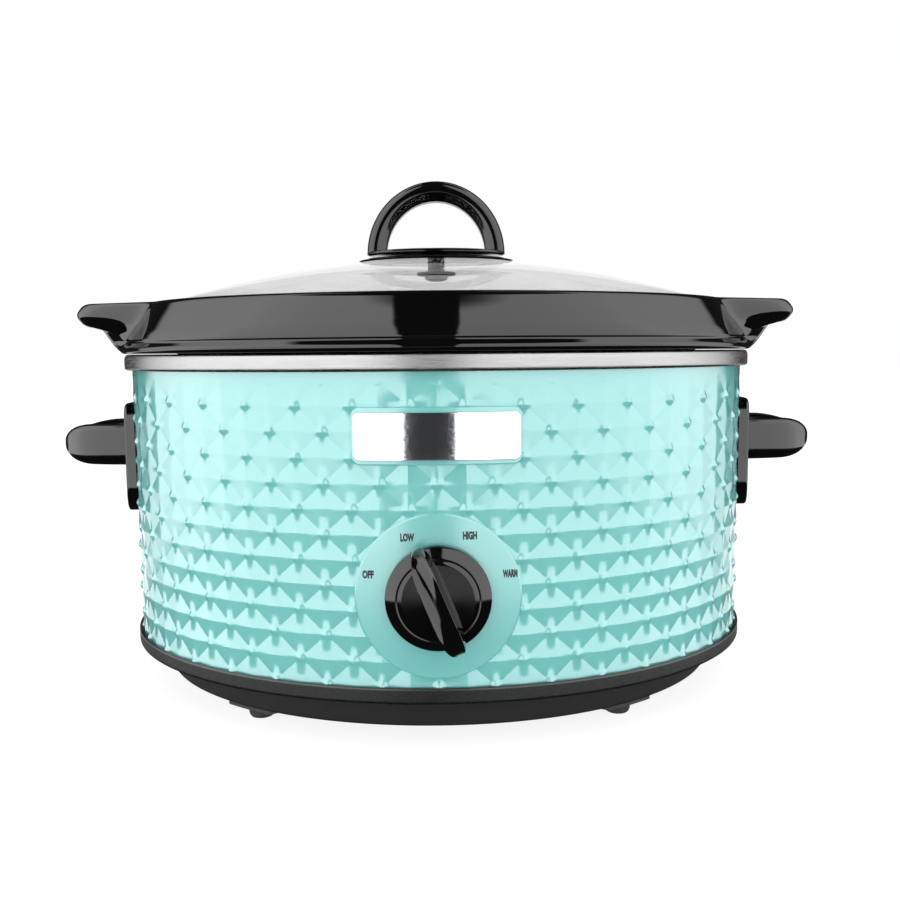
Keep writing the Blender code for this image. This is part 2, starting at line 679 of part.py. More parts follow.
def leads(root):
    """Live runs round the side to the switch; neutral goes up to the fuse; one lead feeds the heater."""
    block_top = TRAY_FLOOR_Z + FIT_GAP + TERMINAL_HEIGHT
    start_z = block_top - TERMINAL_HEIGHT / 2 + FIT_GAP
    wells = terminal_wells()
    y = terminal_y()
    run_z = LINER_FLOOR_Z + 0.018
    middle = -(SHELL_WALL + LINER_INSET_BOTTOM - LINER_WALL) / 2
    half_x, half_y = BODY_HALF_WIDTH + middle, BODY_HALF_DEPTH + middle
    switch_back = PAD_FACE - PAD_RAISE - SHELL_WALL - 0.0012 - SWITCH_DEPTH
    stops = [(wells["live_well"], y, z) for z in (start_z, block_top, block_top + 0.004)]
    for degrees in range(104, 250, 16):
        angle = math.radians(degrees)
        stops.append((half_x * math.cos(angle), half_y * math.sin(angle), run_z))
    switch_y = -switch_back - SWITCH_DEPTH * 0.45
    stops.append((-SWITCH_HALF_WIDTH - 0.011, switch_y, run_z + 0.003))
    stops.append((-SWITCH_HALF_WIDTH - 0.004, switch_y, KNOB_Z - 0.004))
    stops.append((-SWITCH_HALF_WIDTH - 2 * FIT_GAP, switch_y, KNOB_Z - 0.004))
    lead("lead_live", smooth_run(stops, 2), "lead_red", root)
    centre, _, tangent = fuse_place()
    stops = [(wells["neutral_well"], y, z) for z in (start_z, block_top, block_top + 0.004)]
    stops.append((wells["neutral_well"] + 0.001, half_y, run_z))
    stops += [centre + tangent * (FUSE_HALF_LENGTH + reach) for reach in (0.004, 1.5 * FIT_GAP)]
    lead("lead_neutral", smooth_run(stops, 3), "lead_white", root)
    top_z = KNOB_Z + SWITCH_HALF_HEIGHT
    switch_y = -switch_back - SWITCH_DEPTH * 0.35
    heater_y = -(BODY_HALF_DEPTH + liner_offset(HEATER_Z) + HEATER_THICKNESS)
    stops = [(0.004, switch_y, top_z + lift) for lift in (1.5 * FIT_GAP, 0.004)]
    stops += [(0.007, heater_y, HEATER_Z - drop) for drop in (0.004, 1.5 * FIT_GAP)]
    lead("lead_heater", smooth_run(stops, 3), "lead_red", root)


def cord_gland(root):
    """A bush snapped into the rear of the shell; the supply cord passes through its bore."""
    outer_face = BODY_HALF_DEPTH + FIT_GAP
    inner_face = BODY_HALF_DEPTH - SHELL_WALL - 2 * FIT_GAP
    bore_radius = GLAND_BORE_RADIUS
    profile = [
        (bore_radius, inner_face - 0.0030),
        (GLAND_FLANGE_RADIUS - 0.0012, inner_face - 0.0030),
        (GLAND_FLANGE_RADIUS - 0.0006, inner_face),
        (GLAND_RADIUS, inner_face),
        (GLAND_RADIUS, outer_face),
        (GLAND_FLANGE_RADIUS, outer_face),
        (GLAND_FLANGE_RADIUS - 0.0008, outer_face + GLAND_FLANGE * 0.7),
        (bore_radius + 0.0014, outer_face + GLAND_FLANGE),
        (bore_radius, outer_face + GLAND_FLANGE - 0.0008),
    ]
    turned("cord_gland", profile, "tray_plastic", root, 20, True, along(REAR, (0, 0, GLAND_Z)))


# Side handles and badge


def screw_places():
    places = []
    for side, word in ((-1, "left"), (1, "right")):
        for end, sign in (("front", -1), ("rear", 1)):
            centre, out = side_point(sign * GRIP_SCREW_OFFSET, side)
            centre.z = GRIP_Z
            places.append((word, end, centre, out))
    return places


def signed_power(value, power):
    return math.copysign(abs(value) ** power, value)


def grip_loops():
    """Sections along a D-shaped path; the bar's height draws in towards the nose of the grip."""
    start_x = BODY_HALF_WIDTH - 0.014
    tip_x = BODY_HALF_WIDTH + GRIP_REACH
    reach = tip_x - GRIP_BAR / 2 - start_x
    half = GRIP_HALF_LENGTH - GRIP_BAR / 2
    path_steps, section_steps, squareness = 18, 12, 2.8
    loops = []
    for i in range(path_steps + 1):
        angle = math.pi * (i / path_steps - 0.5)
        across = signed_power(math.sin(angle), 2 / squareness)
        forward = abs(math.cos(angle)) ** (2 / squareness)
        centre = Vector((start_x + reach * forward, half * across, GRIP_Z))
        slope = squareness - 1
        normal = Vector((forward ** slope / reach, signed_power(across, slope) / half, 0)).normalized()
        loop = []
        for j in range(section_steps):
            turn = 2 * math.pi * (j + 0.5) / section_steps
            point = centre + normal * signed_power(math.cos(turn), 0.75) * GRIP_BAR / 2
            nose = max(0.0, (point.x - tip_x) / GRIP_NOSE + 1)
            height = GRIP_HEIGHT / 2 * math.sqrt(max(0.04, 1 - nose ** 2))
            loop.append(point + Vector((0, 0, height * signed_power(math.sin(turn), 0.4))))
        loops.append(loop)
    return loops


def side_handle(word, side, root):
    """A moulded plate that follows the shell, with a D-shaped grip standing out from it."""
    plate_z = GRIP_Z - GRIP_PLATE_DROP
    outline = rounded_rectangle(GRIP_PLATE_HALF_LENGTH, GRIP_PLATE_HEIGHT / 2, GRIP_PLATE_CORNER, 5)
    facing = 1 if side > 0 else -1
    handle = wall_patch(f"side_handle_{word}", FIT_GAP, GRIP_PLATE_PROUD, outline, (0, 0, plate_z), facing,
                        "gloss_plastic", root)
    mirror = Matrix.Scale(side, 4, (1, 0, 0))
    grip = skin(f"grip_{word}", grip_loops(), None, root, place=mirror)
    low, high = GRIP_Z - GRIP_HEIGHT, GRIP_Z + GRIP_HEIGHT
    core = skin(f"grip_core_{word}", [oval(FIT_GAP, low), oval(FIT_GAP, high)], None, root)
    combine(grip, as_cutter(core), "DIFFERENCE")
    combine(handle, grip, "UNION")
    hole = GRIP_SCREW_RADIUS + BORE_GAP
    for where, end, centre, out in screw_places():
        if where == word:
            bore(handle, f"pilot_{word}_{end}", centre, out, hole, -0.004, GRIP_SCREW_LENGTH + 0.001, 12)


def handle_screws(root):
    head = -(SHELL_WALL + FIT_GAP + 0.0003)
    profile = [
        (0.0020, head - 0.0018),
        (0.0034, head - 0.0012),
        (0.0036, head),
        (GRIP_SCREW_RADIUS, head),
        (GRIP_SCREW_RADIUS, GRIP_SCREW_LENGTH - 0.0014),
        (GRIP_SCREW_RADIUS * 0.4, GRIP_SCREW_LENGTH),
    ]
    for word, end, centre, out in screw_places():
        turned(f"handle_screw_{word}_{end}", profile, "steel", root, 12, place=along(out, centre))


def badge(root):
    """A plain curved plate in the raised frame, held by two pins and push-on clips inside the shell."""
    inner = FRAME_RAISE + FIT_GAP
    outline = rounded_rectangle(BADGE_HALF_WIDTH, BADGE_HALF_HEIGHT, 0.0020)
    outer = inner + BADGE_THICKNESS
    plate = wall_patch("badge_plate", inner, outer, outline, (0, 0, BADGE_Z), "front", "chrome", root)
    for side, word in ((-1, "left"), (1, "right")):
        x = side * BADGE_PIN_SPREAD
        face, _ = wall_point(x, inner + BADGE_THICKNESS / 2)
        inside, _ = wall_point(x, -SHELL_WALL)
        end = -inside.y - 0.0024
        place = along(FRONT, (x, 0, BADGE_Z))
        rod = [(BADGE_PIN_RADIUS, end), (BADGE_PIN_RADIUS, -face.y)]
        combine(plate, turned(f"badge_pin_{word}", rod, None, root, 12, place=place), "UNION")
        high = -inside.y - FIT_GAP - 0.0004
        low = high - 0.0006
        hole = BADGE_PIN_RADIUS + BORE_GAP
        ring = [(hole, low), (BADGE_CLIP_RADIUS, low), (BADGE_CLIP_RADIUS, high), (hole, high)]
        turned(f"badge_clip_{word}", ring, "steel", root, 12, True, place)


# Rotary switch and knob: the local Z axis points out of the front and local Z = 0 is the face of the dial pad


def rotary_switch(axis):
    front = -(PAD_RAISE + SHELL_WALL + FIT_GAP + 0.0009)
    back = front - SWITCH_DEPTH
    outline = rounded_rectangle(SWITCH_HALF_WIDTH, SWITCH_HALF_HEIGHT, 0.0015, 2)
    loops = [[Vector((u, v, z)) for u, v in outline] for z in (back, front)]
    body = skin("rotary_switch", loops, "switch_plastic", axis)
    neck = turned("switch_bush", [(BUSH_RADIUS, front - 0.002), (BUSH_RADIUS, BUSH_REACH)], None, axis, 20)
    combine(body, neck, "UNION")
    bore(body, "shaft_well", (0, 0, 0), UP, SHAFT_RADIUS + BORE_GAP, back + 0.0030, BUSH_REACH + 0.001, 20)
    face = FIT_GAP
    nut("switch_nut", SWITCH_NUT_RADIUS, BUSH_RADIUS + BORE_GAP, face, face + SWITCH_NUT_THICKNESS, axis)


def shaft_section(radius, flat, z, steps=20):
    """A round section with one flat, on the side of local +Y."""
    return [Vector((p.x, min(p.y, flat), p.z)) for p in circle(radius, z, steps)]


def switch_shaft(axis):
    back = -(PAD_RAISE + SHELL_WALL + FIT_GAP + 0.0009) - SWITCH_DEPTH + 0.0030 + FIT_GAP
    step = BUSH_REACH + 0.0004
    loops = [
        circle(SHAFT_RADIUS, back, 20),
        circle(SHAFT_RADIUS, step, 20),
        shaft_section(SHAFT_RADIUS, SHAFT_FLAT, step + 0.0002),
        shaft_section(SHAFT_RADIUS, SHAFT_FLAT, KNOB_FACE + 0.0060),
    ]
    skin("switch_shaft", loops, "steel", axis)


def control_knob(axis):
    """A bevelled disc with a raised leaf-shaped bar to turn it by, bored for the flatted shaft."""
    profile = [
        (KNOB_RECESS_RADIUS, KNOB_BACK + KNOB_RECESS_DEPTH),
        (KNOB_RECESS_RADIUS, KNOB_BACK),
        (KNOB_RADIUS - 0.0005, KNOB_BACK),
        (KNOB_RADIUS, KNOB_BACK + 0.0006),
        (KNOB_RADIUS, KNOB_FACE - 0.0028),
        (KNOB_RADIUS - 0.0026, KNOB_FACE - 0.0003),
        (KNOB_RADIUS - 0.0033, KNOB_FACE),
    ]
    knob = turned("control_knob", profile, "gloss_plastic", axis, 40)
    root_z = KNOB_FACE - 0.0010
    loops = []
    stations = 10
    for i in range(stations + 1):
        t = math.sin(math.pi / 2 * (2 * i / stations - 1))
        y = t * GRIP_BAR_HALF_LENGTH
        half = GRIP_BAR_HALF_WIDTH * (0.16 + 0.84 * math.sqrt(max(0.0, 1 - t * t)))
        top = KNOB_FACE + 0.0012 + (GRIP_BAR_REACH - KNOB_FACE - 0.0012) * math.sqrt(max(0.0, 1 - t * t))
        shoulder = root_z + (top - root_z) * 0.85
        right = [(half, root_z), (half * 0.80, shoulder), (half * 0.45, top)]
        outline = right + [(-x, z) for x, z in reversed(right)]
        loops.append([Vector((x, y, z)) for x, z in outline])
    combine(knob, skin("knob_bar", loops, None, axis), "UNION")
    depth = KNOB_FACE + 0.0060 + FIT_GAP
    well = [shaft_section(SHAFT_RADIUS + BORE_GAP, SHAFT_FLAT + BORE_GAP, z) for z in (0.0, depth)]
    combine(knob, skin("knob_well", well, None, axis), "DIFFERENCE")


# Crock


def tab_share(angle):
    """1 across the carrying tab at each end of the crock, easing to 0 along its sides."""
    t = (abs(math.sin(angle)) - TAB_START) / (TAB_END - TAB_START)
    t = min(1.0, max(0.0, t))
    return 1 - t * t * (3 - 2 * t)


def rim_loop(plain, tab):
    """A loop of the crock's rim: (offset, height) along the sides, and the second pair at the tabs."""
    loop = []
    for i in range(OVAL_STEPS):
        angle = 2 * math.pi * i / OVAL_STEPS
        share = tab_share(angle)
        offset = plain[0] + (tab[0] - plain[0]) * share
        z = plain[1] + (tab[1] - plain[1]) * share
        half_x, half_y = BODY_HALF_WIDTH + offset, BODY_HALF_DEPTH + offset
        loop.append(Vector((half_x * math.cos(angle), half_y * math.sin(angle), z)))
    return loop


def crock(root):
    outer_low = -(LINER_INSET_BOTTOM + CROCK_CLEARANCE)
    outer_top = -(LINER_INSET_TOP + CROCK_CLEARANCE)
    inner_low, inner_top = outer_low - CROCK_WALL, outer_top - CROCK_WALL
    floor_z = CROCK_BOTTOM_Z + CROCK_WALL
    rest, top = CROCK_REST_Z, CROCK_TOP_Z
    under_tab = top - 0.0007 - TAB_THICKNESS
    seat_outer = -LID_SEAT_INSET
    seat_inner = seat_outer - LID_SEAT_WIDTH
    rim_top = -CROCK_RIM_TOP_INSET
    tip = TAB_REACH
    loops = [
        oval(outer_low - CROCK_CORNER, CROCK_BOTTOM_Z),
        oval(outer_low - CROCK_CORNER * 0.3, CROCK_BOTTOM_Z + CROCK_CORNER * 0.3),
        oval(outer_low, CROCK_BOTTOM_Z + CROCK_CORNER),
        oval(outer_top, rest),
        oval(BEAD_PROUD - 0.0022, rest),
        rim_loop((BEAD_PROUD, rest + 0.0018), (BEAD_PROUD + 0.0021, rest + 0.0026)),
        rim_loop((BEAD_PROUD - 0.0026, rest + 0.0043), (BEAD_PROUD + 0.0060, rest + 0.0078)),
        rim_loop((BEAD_PROUD - 0.0020, rest + 0.0054), (BEAD_PROUD + 0.0092, under_tab)),
        rim_loop((rim_top + 0.0082, rest + 0.0090), (tip - 0.0040, under_tab + 0.0012)),
        rim_loop((rim_top + 0.0050, top - 0.0070), (tip, under_tab + TAB_THICKNESS * 0.52)),
        rim_loop((rim_top + 0.0016, top - 0.0012), (tip - 0.0028, top - 0.0014)),
        rim_loop((rim_top - 0.0006, top), (tip - 0.0100, top - 0.0002)),
        oval(seat_outer + 0.0010, top - 0.0004),
        oval(seat_outer, LID_SEAT_Z),
        oval(seat_inner, LID_SEAT_Z),
        oval(seat_inner - 0.0010, LID_SEAT_Z - 0.0040),
        oval(inner_top, rest - 0.0020),
        oval(inner_low, floor_z + CROCK_CORNER),
        oval(inner_low - CROCK_CORNER * 0.3, floor_z + CROCK_CORNER * 0.3),
        oval(inner_low - CROCK_CORNER, floor_z),
    ]
    skin("crock", loops, "stoneware", root)


# Lid


def lid_level(half_x_share):
    """Height of the glass's outer face above its edge, by the share of its half-width from the middle."""
    return GLASS_THICKNESS + GLASS_RISE * (1 - half_x_share ** 2.1)


def lid_glass(root):
    edge = -(LID_SEAT_INSET + GLASS_CLEARANCE)
    edge_x, edge_y = BODY_HALF_WIDTH + edge, BODY_HALF_DEPTH + edge
    hole = LID_BOSS_RADIUS + BORE_GAP

    def level(share, z):
        return ellipse(edge_x * share, edge_y * share, z)

    shares = (0.97, 0.80, 0.50, GLASS_CROWN)
    flat = lid_level(hole / edge_x)
    loops = [level(share, GLASS_EDGE_Z + lid_level(share) - GLASS_THICKNESS) for share in reversed(shares)]
    loops.append(level(0.99, GLASS_EDGE_Z))
    loops.append(level(1.0, GLASS_EDGE_Z + 0.0008))
    loops.append(level(1.0, GLASS_EDGE_Z + GLASS_THICKNESS - 0.0010))
    loops.extend(level(share, GLASS_EDGE_Z + lid_level(share)) for share in shares)
    loops.append(circle(hole, GLASS_EDGE_Z + flat, OVAL_STEPS))
    loops.append(circle(hole, GLASS_EDGE_Z + flat - GLASS_THICKNESS, OVAL_STEPS))
    skin("lid_glass", loops, "glass", root, ring=True)


def lid_handle_plate(root):
    hole = LID_BOSS_RADIUS + BORE_GAP
    half_x, half_y = LID_PLATE_HALF_WIDTH, LID_PLATE_HALF_DEPTH
    low, high = LID_PLATE_Z, LID_PLATE_Z + LID_PLATE_THICKNESS
    loops = [
        circle(hole, low, 40),
        ellipse(half_x * 0.97, half_y * 0.97, low - 0.0002, 40),
        ellipse(half_x, half_y, low + 0.0004, 40),
        ellipse(half_x * 0.93, half_y * 0.93, low + 0.0012, 40),
        ellipse(half_x * 0.55, half_y * 0.55, high, 40),
        circle(hole, high, 40),
    ]
    skin("lid_handle_plate", loops, "gloss_plastic", root, ring=True)


def lid_handle(root):
    """An arch on an oval base, with a boss that passes down through the plate and the glass."""
    half_x, half_y = HANDLE_BASE_HALF_WIDTH, HANDLE_BASE_HALF_DEPTH
    low, high = HANDLE_BASE_Z, HANDLE_BASE_Z + HANDLE_BASE_THICKNESS
    loops = [
        ellipse(half_x * 0.96, half_y * 0.96, low, 32),
        ellipse(half_x, half_y, low + 0.0007, 32),
        ellipse(half_x * 0.97, half_y * 0.94, low + 0.0018, 32),
        ellipse(half_x * 0.70, half_y * 0.60, high, 32),
    ]
    handle = skin("lid_handle", loops, "gloss_plastic", root)
    arch = []
    path_steps = 20
    for i in range(path_steps + 1):
        angle = math.pi * i / path_steps
        centre = Vector((ARCH_HALF_WIDTH * math.cos(angle), 0, low + 0.0006 + ARCH_HEIGHT * math.sin(angle)))
        out = Vector((math.cos(angle) / ARCH_HALF_WIDTH, 0, math.sin(angle) / ARCH_HEIGHT)).normalized()
        section = rounded_rectangle(ARCH_BAR_RADIAL / 2, ARCH_BAR_DEPTH / 2, 0.0028, 2)
        arch.append([centre + out * u + Vector((0, v, 0)) for u, v in section])
    combine(handle, skin("arch", arch, None, root), "UNION")
    boss_low = GLASS_TOP_Z - GLASS_THICKNESS
    boss = turned("handle_boss", [(LID_BOSS_RADIUS, boss_low), (LID_BOSS_RADIUS, low + 0.0010)], None, root)
    combine(handle, boss, "UNION")
    well = LID_SCREW_RADIUS + BORE_GAP
    bore(handle, "handle_pilot", (0, 0, 0), (0, 0, 1), well, boss_low - 0.001, high - 0.0010, 12)


def lid_fixings(root):
    under = GLASS_TOP_Z - GLASS_THICKNESS - FIT_GAP - 0.0001
    crown_y = (BODY_HALF_DEPTH - LID_SEAT_INSET - GLASS_CLEARANCE) * GLASS_CROWN
    crown_fall = GLASS_THICKNESS + GLASS_RISE - lid_level(GLASS_CROWN)
    outer = LID_WASHER_RADIUS
    outer_top = under - crown_fall * outer / crown_y
    washer_low = outer_top - 0.0012
    hole = LID_SCREW_RADIUS + BORE_GAP
    washer = [(hole, washer_low), (outer, washer_low), (outer, outer_top), (hole, under)]
    turned("lid_washer", washer, "silicone", root, 20, ring=True)
    head_top = washer_low - FIT_GAP
    end = HANDLE_BASE_Z + HANDLE_BASE_THICKNESS - 0.0010 - FIT_GAP
    screw = [
        (0.0030, head_top - 0.0024),
        (0.0052, head_top - 0.0016),
        (0.0056, head_top),
        (LID_SCREW_RADIUS, head_top),
        (LID_SCREW_RADIUS, end - 0.0012),
        (LID_SCREW_RADIUS * 0.5, end),
    ]
    turned("lid_screw", screw, "steel", root)


def add_empty(name, parent, location, turn=(0, 0, 0)):
    empty = bpy.data.objects.new(name, None)
    bpy.context.scene.collection.objects.link(empty)
    empty.parent = parent
    empty.location = location
    empty.rotation_euler = turn
    return empty


def build():
    clear_scene()
    root = add_empty("slow_cooker", None, (0, BODY_Y, 0))
    crock_lift = add_empty("crock_lift", root, (0, 0, 0))
    lid_lift = add_empty("lid_lift", crock_lift, (0, 0, 0))
    base_tray(root)
    feet(root)
    outer_shell(root)
    heating_liner(root)
    heat_shield(root)
    liner_fixings(root)
    heater_band(root)
    thermal_fuse(root)
    terminal_block(root)
    leads(root)
    cord_gland(root)
    side_handle("left", -1, root)
    side_handle("right", 1, root)
    handle_screws(root)
    badge(root)
    switch_axis = add_empty("switch_axis", root, (0, -PAD_FACE, KNOB_Z), (math.pi / 2, 0, 0))
    knob_turn = add_empty("knob_turn", switch_axis, (0, 0, 0), (0, 0, KNOB_REST_ANGLE))
    rotary_switch(switch_axis)
    switch_shaft(knob_turn)
    control_knob(knob_turn)
    crock(crock_lift)
    lid_glass(lid_lift)
    lid_handle_plate(lid_lift)
    lid_handle(lid_lift)
    lid_fixings(lid_lift)


build()
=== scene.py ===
"""Looks of an oval slow cooker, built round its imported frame: an embossed enamelled base with a rotary
heat switch, a black glazed crock and a glass lid. Metres, +Z up, the front faces -Y."""

import math

import bmesh
import bpy
from bpy.props import FloatProperty, FloatVectorProperty, IntProperty, PointerProperty
from mathutils import Matrix, Vector


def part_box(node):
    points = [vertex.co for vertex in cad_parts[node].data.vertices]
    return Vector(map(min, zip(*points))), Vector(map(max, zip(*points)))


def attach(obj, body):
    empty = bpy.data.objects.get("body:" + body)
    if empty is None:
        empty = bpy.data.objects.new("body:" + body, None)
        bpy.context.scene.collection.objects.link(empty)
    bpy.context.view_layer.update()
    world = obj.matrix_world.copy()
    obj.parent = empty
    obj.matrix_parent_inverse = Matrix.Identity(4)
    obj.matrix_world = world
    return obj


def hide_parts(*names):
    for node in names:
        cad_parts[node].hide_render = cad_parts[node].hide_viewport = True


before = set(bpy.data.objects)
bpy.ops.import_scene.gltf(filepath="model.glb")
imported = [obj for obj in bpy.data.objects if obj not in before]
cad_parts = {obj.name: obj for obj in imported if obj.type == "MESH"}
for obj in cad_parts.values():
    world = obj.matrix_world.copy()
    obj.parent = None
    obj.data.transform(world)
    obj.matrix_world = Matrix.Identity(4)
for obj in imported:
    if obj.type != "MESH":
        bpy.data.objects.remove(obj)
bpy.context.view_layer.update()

bl_info = {
    "name": "Oval Slow Cooker",
    "version": (1, 0, 0),
    "blender": (4, 5, 0),
    "location": "View3D > Sidebar > Slow Cooker",
    "description": "Builds the visible pieces and finishes of an oval slow cooker round its CAD frame",
    "category": "Object",
}

BACKDROP_LIGHT = 1.0
ROOM_LIGHT = 1.12
PANEL_LIGHT = 4.0
EYE = (0.00166, -0.42642, 0.14754)
EYE_TURN, EYE_DIP, EYE_ROLL = math.radians(0.536), math.radians(6.186), 0.00864
EYE_LENS = 36.391

SHELL_LOW, SHELL_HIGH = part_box("outer_shell")
LINER_LOW, LINER_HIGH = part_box("heating_liner")
TRAY_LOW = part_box("base_tray")[0]
CROCK_LOW, CROCK_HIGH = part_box("crock")
GLASS_LOW, GLASS_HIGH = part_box("lid_glass")
PLATE_LOW, PLATE_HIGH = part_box("lid_handle_plate")
ARCH_LOW, ARCH_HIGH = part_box("lid_handle")
KNOB_LOW, KNOB_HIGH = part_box("control_knob")
GRIP_LOW, GRIP_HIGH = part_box("side_handle_right")
BADGE_LOW, BADGE_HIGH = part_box("badge_plate")
GLAND_LOW, GLAND_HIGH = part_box("cord_gland")
BOLT_LOW, BOLT_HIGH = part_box("liner_bolt_right")

MIDDLE_Y = (LINER_LOW[1] + LINER_HIGH[1]) / 2
HALF_X = SHELL_HIGH[0]
HALF_Y = SHELL_HIGH[1] - MIDDLE_Y
SHELL_Z, SHELL_TOP = SHELL_LOW[2], SHELL_HIGH[2]
RIM_TOP = LINER_HIGH[2]
LINER_FLOOR = LINER_LOW[2] + 0.0008
CROCK_REST = RIM_TOP + 0.0003
KNOB_Z = (KNOB_LOW[2] + KNOB_HIGH[2]) / 2
PAD_RAISE = MIDDLE_Y - HALF_Y - SHELL_LOW[1]
PAD_FACE_Y = SHELL_LOW[1]
BADGE_Z = (BADGE_LOW[2] + BADGE_HIGH[2]) / 2
GLAND_Z = (GLAND_LOW[2] + GLAND_HIGH[2]) / 2
GRIP_PLATE_Z = (GRIP_LOW[2] + GRIP_HIGH[2]) / 2
GRIP_Z = GRIP_PLATE_Z + 0.0062
BOLT_X = (BOLT_LOW[0] + BOLT_HIGH[0]) / 2
FEET = [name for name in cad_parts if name.startswith("foot_")]
KNOB_REST_ANGLE = math.radians(22.5)
PLATE_TOP_Z = PLATE_HIGH[2]
HANDLE_BASE_Z = PLATE_TOP_Z + 0.0003
BADGE_PIN_X = 0.015
SCREW_HOLE = 0.0018
BOLT_HOLE = 0.0024


# Sizes and colours that a user would change


def length(name, about, default):
    return FloatProperty(name=name, description=about, default=default, unit="LENGTH", precision=4)


def colour(name, about, default):
    return FloatVectorProperty(name=name, description=about, default=default, size=3, min=0, max=1,
                               subtype="COLOR")


class CookerSizes(bpy.types.PropertyGroup):
    """Sizes of the relief, the dial pad, the badge's frame, the knob and the dial words."""

    columns: IntProperty(name="Columns", description="Diamonds round the shell", default=37, min=12)
    row_pitch: length("Row Pitch", "Height from one row of studs to the next", 0.00953)
    stud_row: length("Stud Row", "Height of a row of studs that has one at the front", 0.09983)
    relief: length("Relief", "How far the middle of a diamond stands above its edges", 0.00064)
    sink: length("Sink", "How far the edges of the diamonds lie inside the plain wall", 0.0004)
    stud_radius: length("Stud Radius", "Radius of a stud where the diamonds meet", 0.0026)
    stud_height: length("Stud Height", "How far a stud stands above the edges of the diamonds", 0.0012)
    pad_radius: length("Dial Pad Radius", "Radius of the smooth pad behind the knob", 0.0310)
    frame_half_width: length("Frame Half Width", "Half the width of the badge's frame", 0.0310)
    frame_half_height: length("Frame Half Height", "Half the height of the badge's frame", 0.0105)
    knob_radius: length("Knob Radius", "Radius of the heat switch's knob", 0.0195)
    letter_height: length("Letter Height", "Height of the words on the dial", 0.0031)


class CookerColours(bpy.types.PropertyGroup):
    """Colours of the finishes."""

    enamel: colour("Enamel", "Turquoise enamel of the shell", (0.168, 0.525, 0.500))
    glaze: colour("Glaze", "Black glaze of the crock", (0.002, 0.002, 0.002))
    plastic: colour("Gloss Plastic", "Black plastic of the knob and the handles", (0.002, 0.002, 0.002))
    tray: colour("Tray Plastic", "Charcoal plastic of the base tray", (0.010, 0.010, 0.010))
    metal: colour("Aluminium", "Satin aluminium of the rim and the liner", (0.22, 0.22, 0.218))


def sizes():
    return bpy.context.scene.cooker_sizes


def colours():
    return bpy.context.scene.cooker_colours


# Finishes: every pattern reads Object coordinates


def node(tree, kind, values=(), **settings):
    """A node with its settings, and its input values by name."""
    made = tree.nodes.new(kind)
    for key, value in settings.items():
        setattr(made, key, value)
    for key, value in dict(values).items():
        if isinstance(value, bpy.types.NodeSocket):
            tree.links.new(value, made.inputs[key])
        else:
            made.inputs[key].default_value = value
    return made


def sum_node(tree, nodes, kind, *values):
    """A maths node on numbers or on other nodes' results, and its result."""
    made = node(tree, nodes, operation=kind)
    for i, value in enumerate(values):
        socket = made.inputs["Scale" if kind == "SCALE" and i else i]
        if isinstance(value, bpy.types.NodeSocket):
            tree.links.new(value, socket)
        else:
            socket.default_value = value
    return made.outputs[0]


def finish(name, tone, rough, metallic=0.0, spread=0.04, patch=60, mottle=0.06, grain=1400, bump=0.03,
           stretch=(1, 1, 1), **sockets):
    """A Principled finish: mottled colour, uneven gloss and a fine grain."""
    name = f"{name}_finish"
    made = bpy.data.materials.get(name)
    if made:
        return made
    made = bpy.data.materials.new(name)
    made.use_nodes = True
    tree = made.node_tree
    shader = tree.nodes["Principled BSDF"]
    place = node(tree, "ShaderNodeTexCoord").outputs["Object"]
    spun = node(tree, "ShaderNodeMapping", {"Vector": place, "Scale": stretch}).outputs["Vector"]
    clouds = node(tree, "ShaderNodeTexNoise", {"Vector": place, "Scale": patch, "Detail": 4.0})
    fine = node(tree, "ShaderNodeTexNoise", {"Vector": spun, "Scale": grain, "Detail": 3.0})
    dark = tuple(c * (1 - mottle) for c in tone)
    light = tuple(min(1.0, c * (1 + mottle)) for c in tone)
    ramp = node(tree, "ShaderNodeMix", {"Factor": clouds.outputs["Fac"]}, data_type="RGBA")
    ramp.inputs[6].default_value = (*dark, 1.0)
    ramp.inputs[7].default_value = (*light, 1.0)
    gloss = node(tree, "ShaderNodeMapRange", {"Value": fine.outputs["Fac"], "From Min": 0.3, "From Max": 0.7,
                                              "To Min": max(0.0, rough - spread), "To Max": rough + spread})
    lift = node(tree, "ShaderNodeBump", {"Height": fine.outputs["Fac"], "Strength": bump, "Distance": 0.0002})
    tree.links.new(ramp.outputs[2], shader.inputs["Base Color"])
    tree.links.new(gloss.outputs["Result"], shader.inputs["Roughness"])
    tree.links.new(lift.outputs["Normal"], shader.inputs["Normal"])
    shader.inputs["Metallic"].default_value = metallic
    for key, value in sockets.items():
        shader.inputs[key.replace("_", " ")].default_value = value
    return made


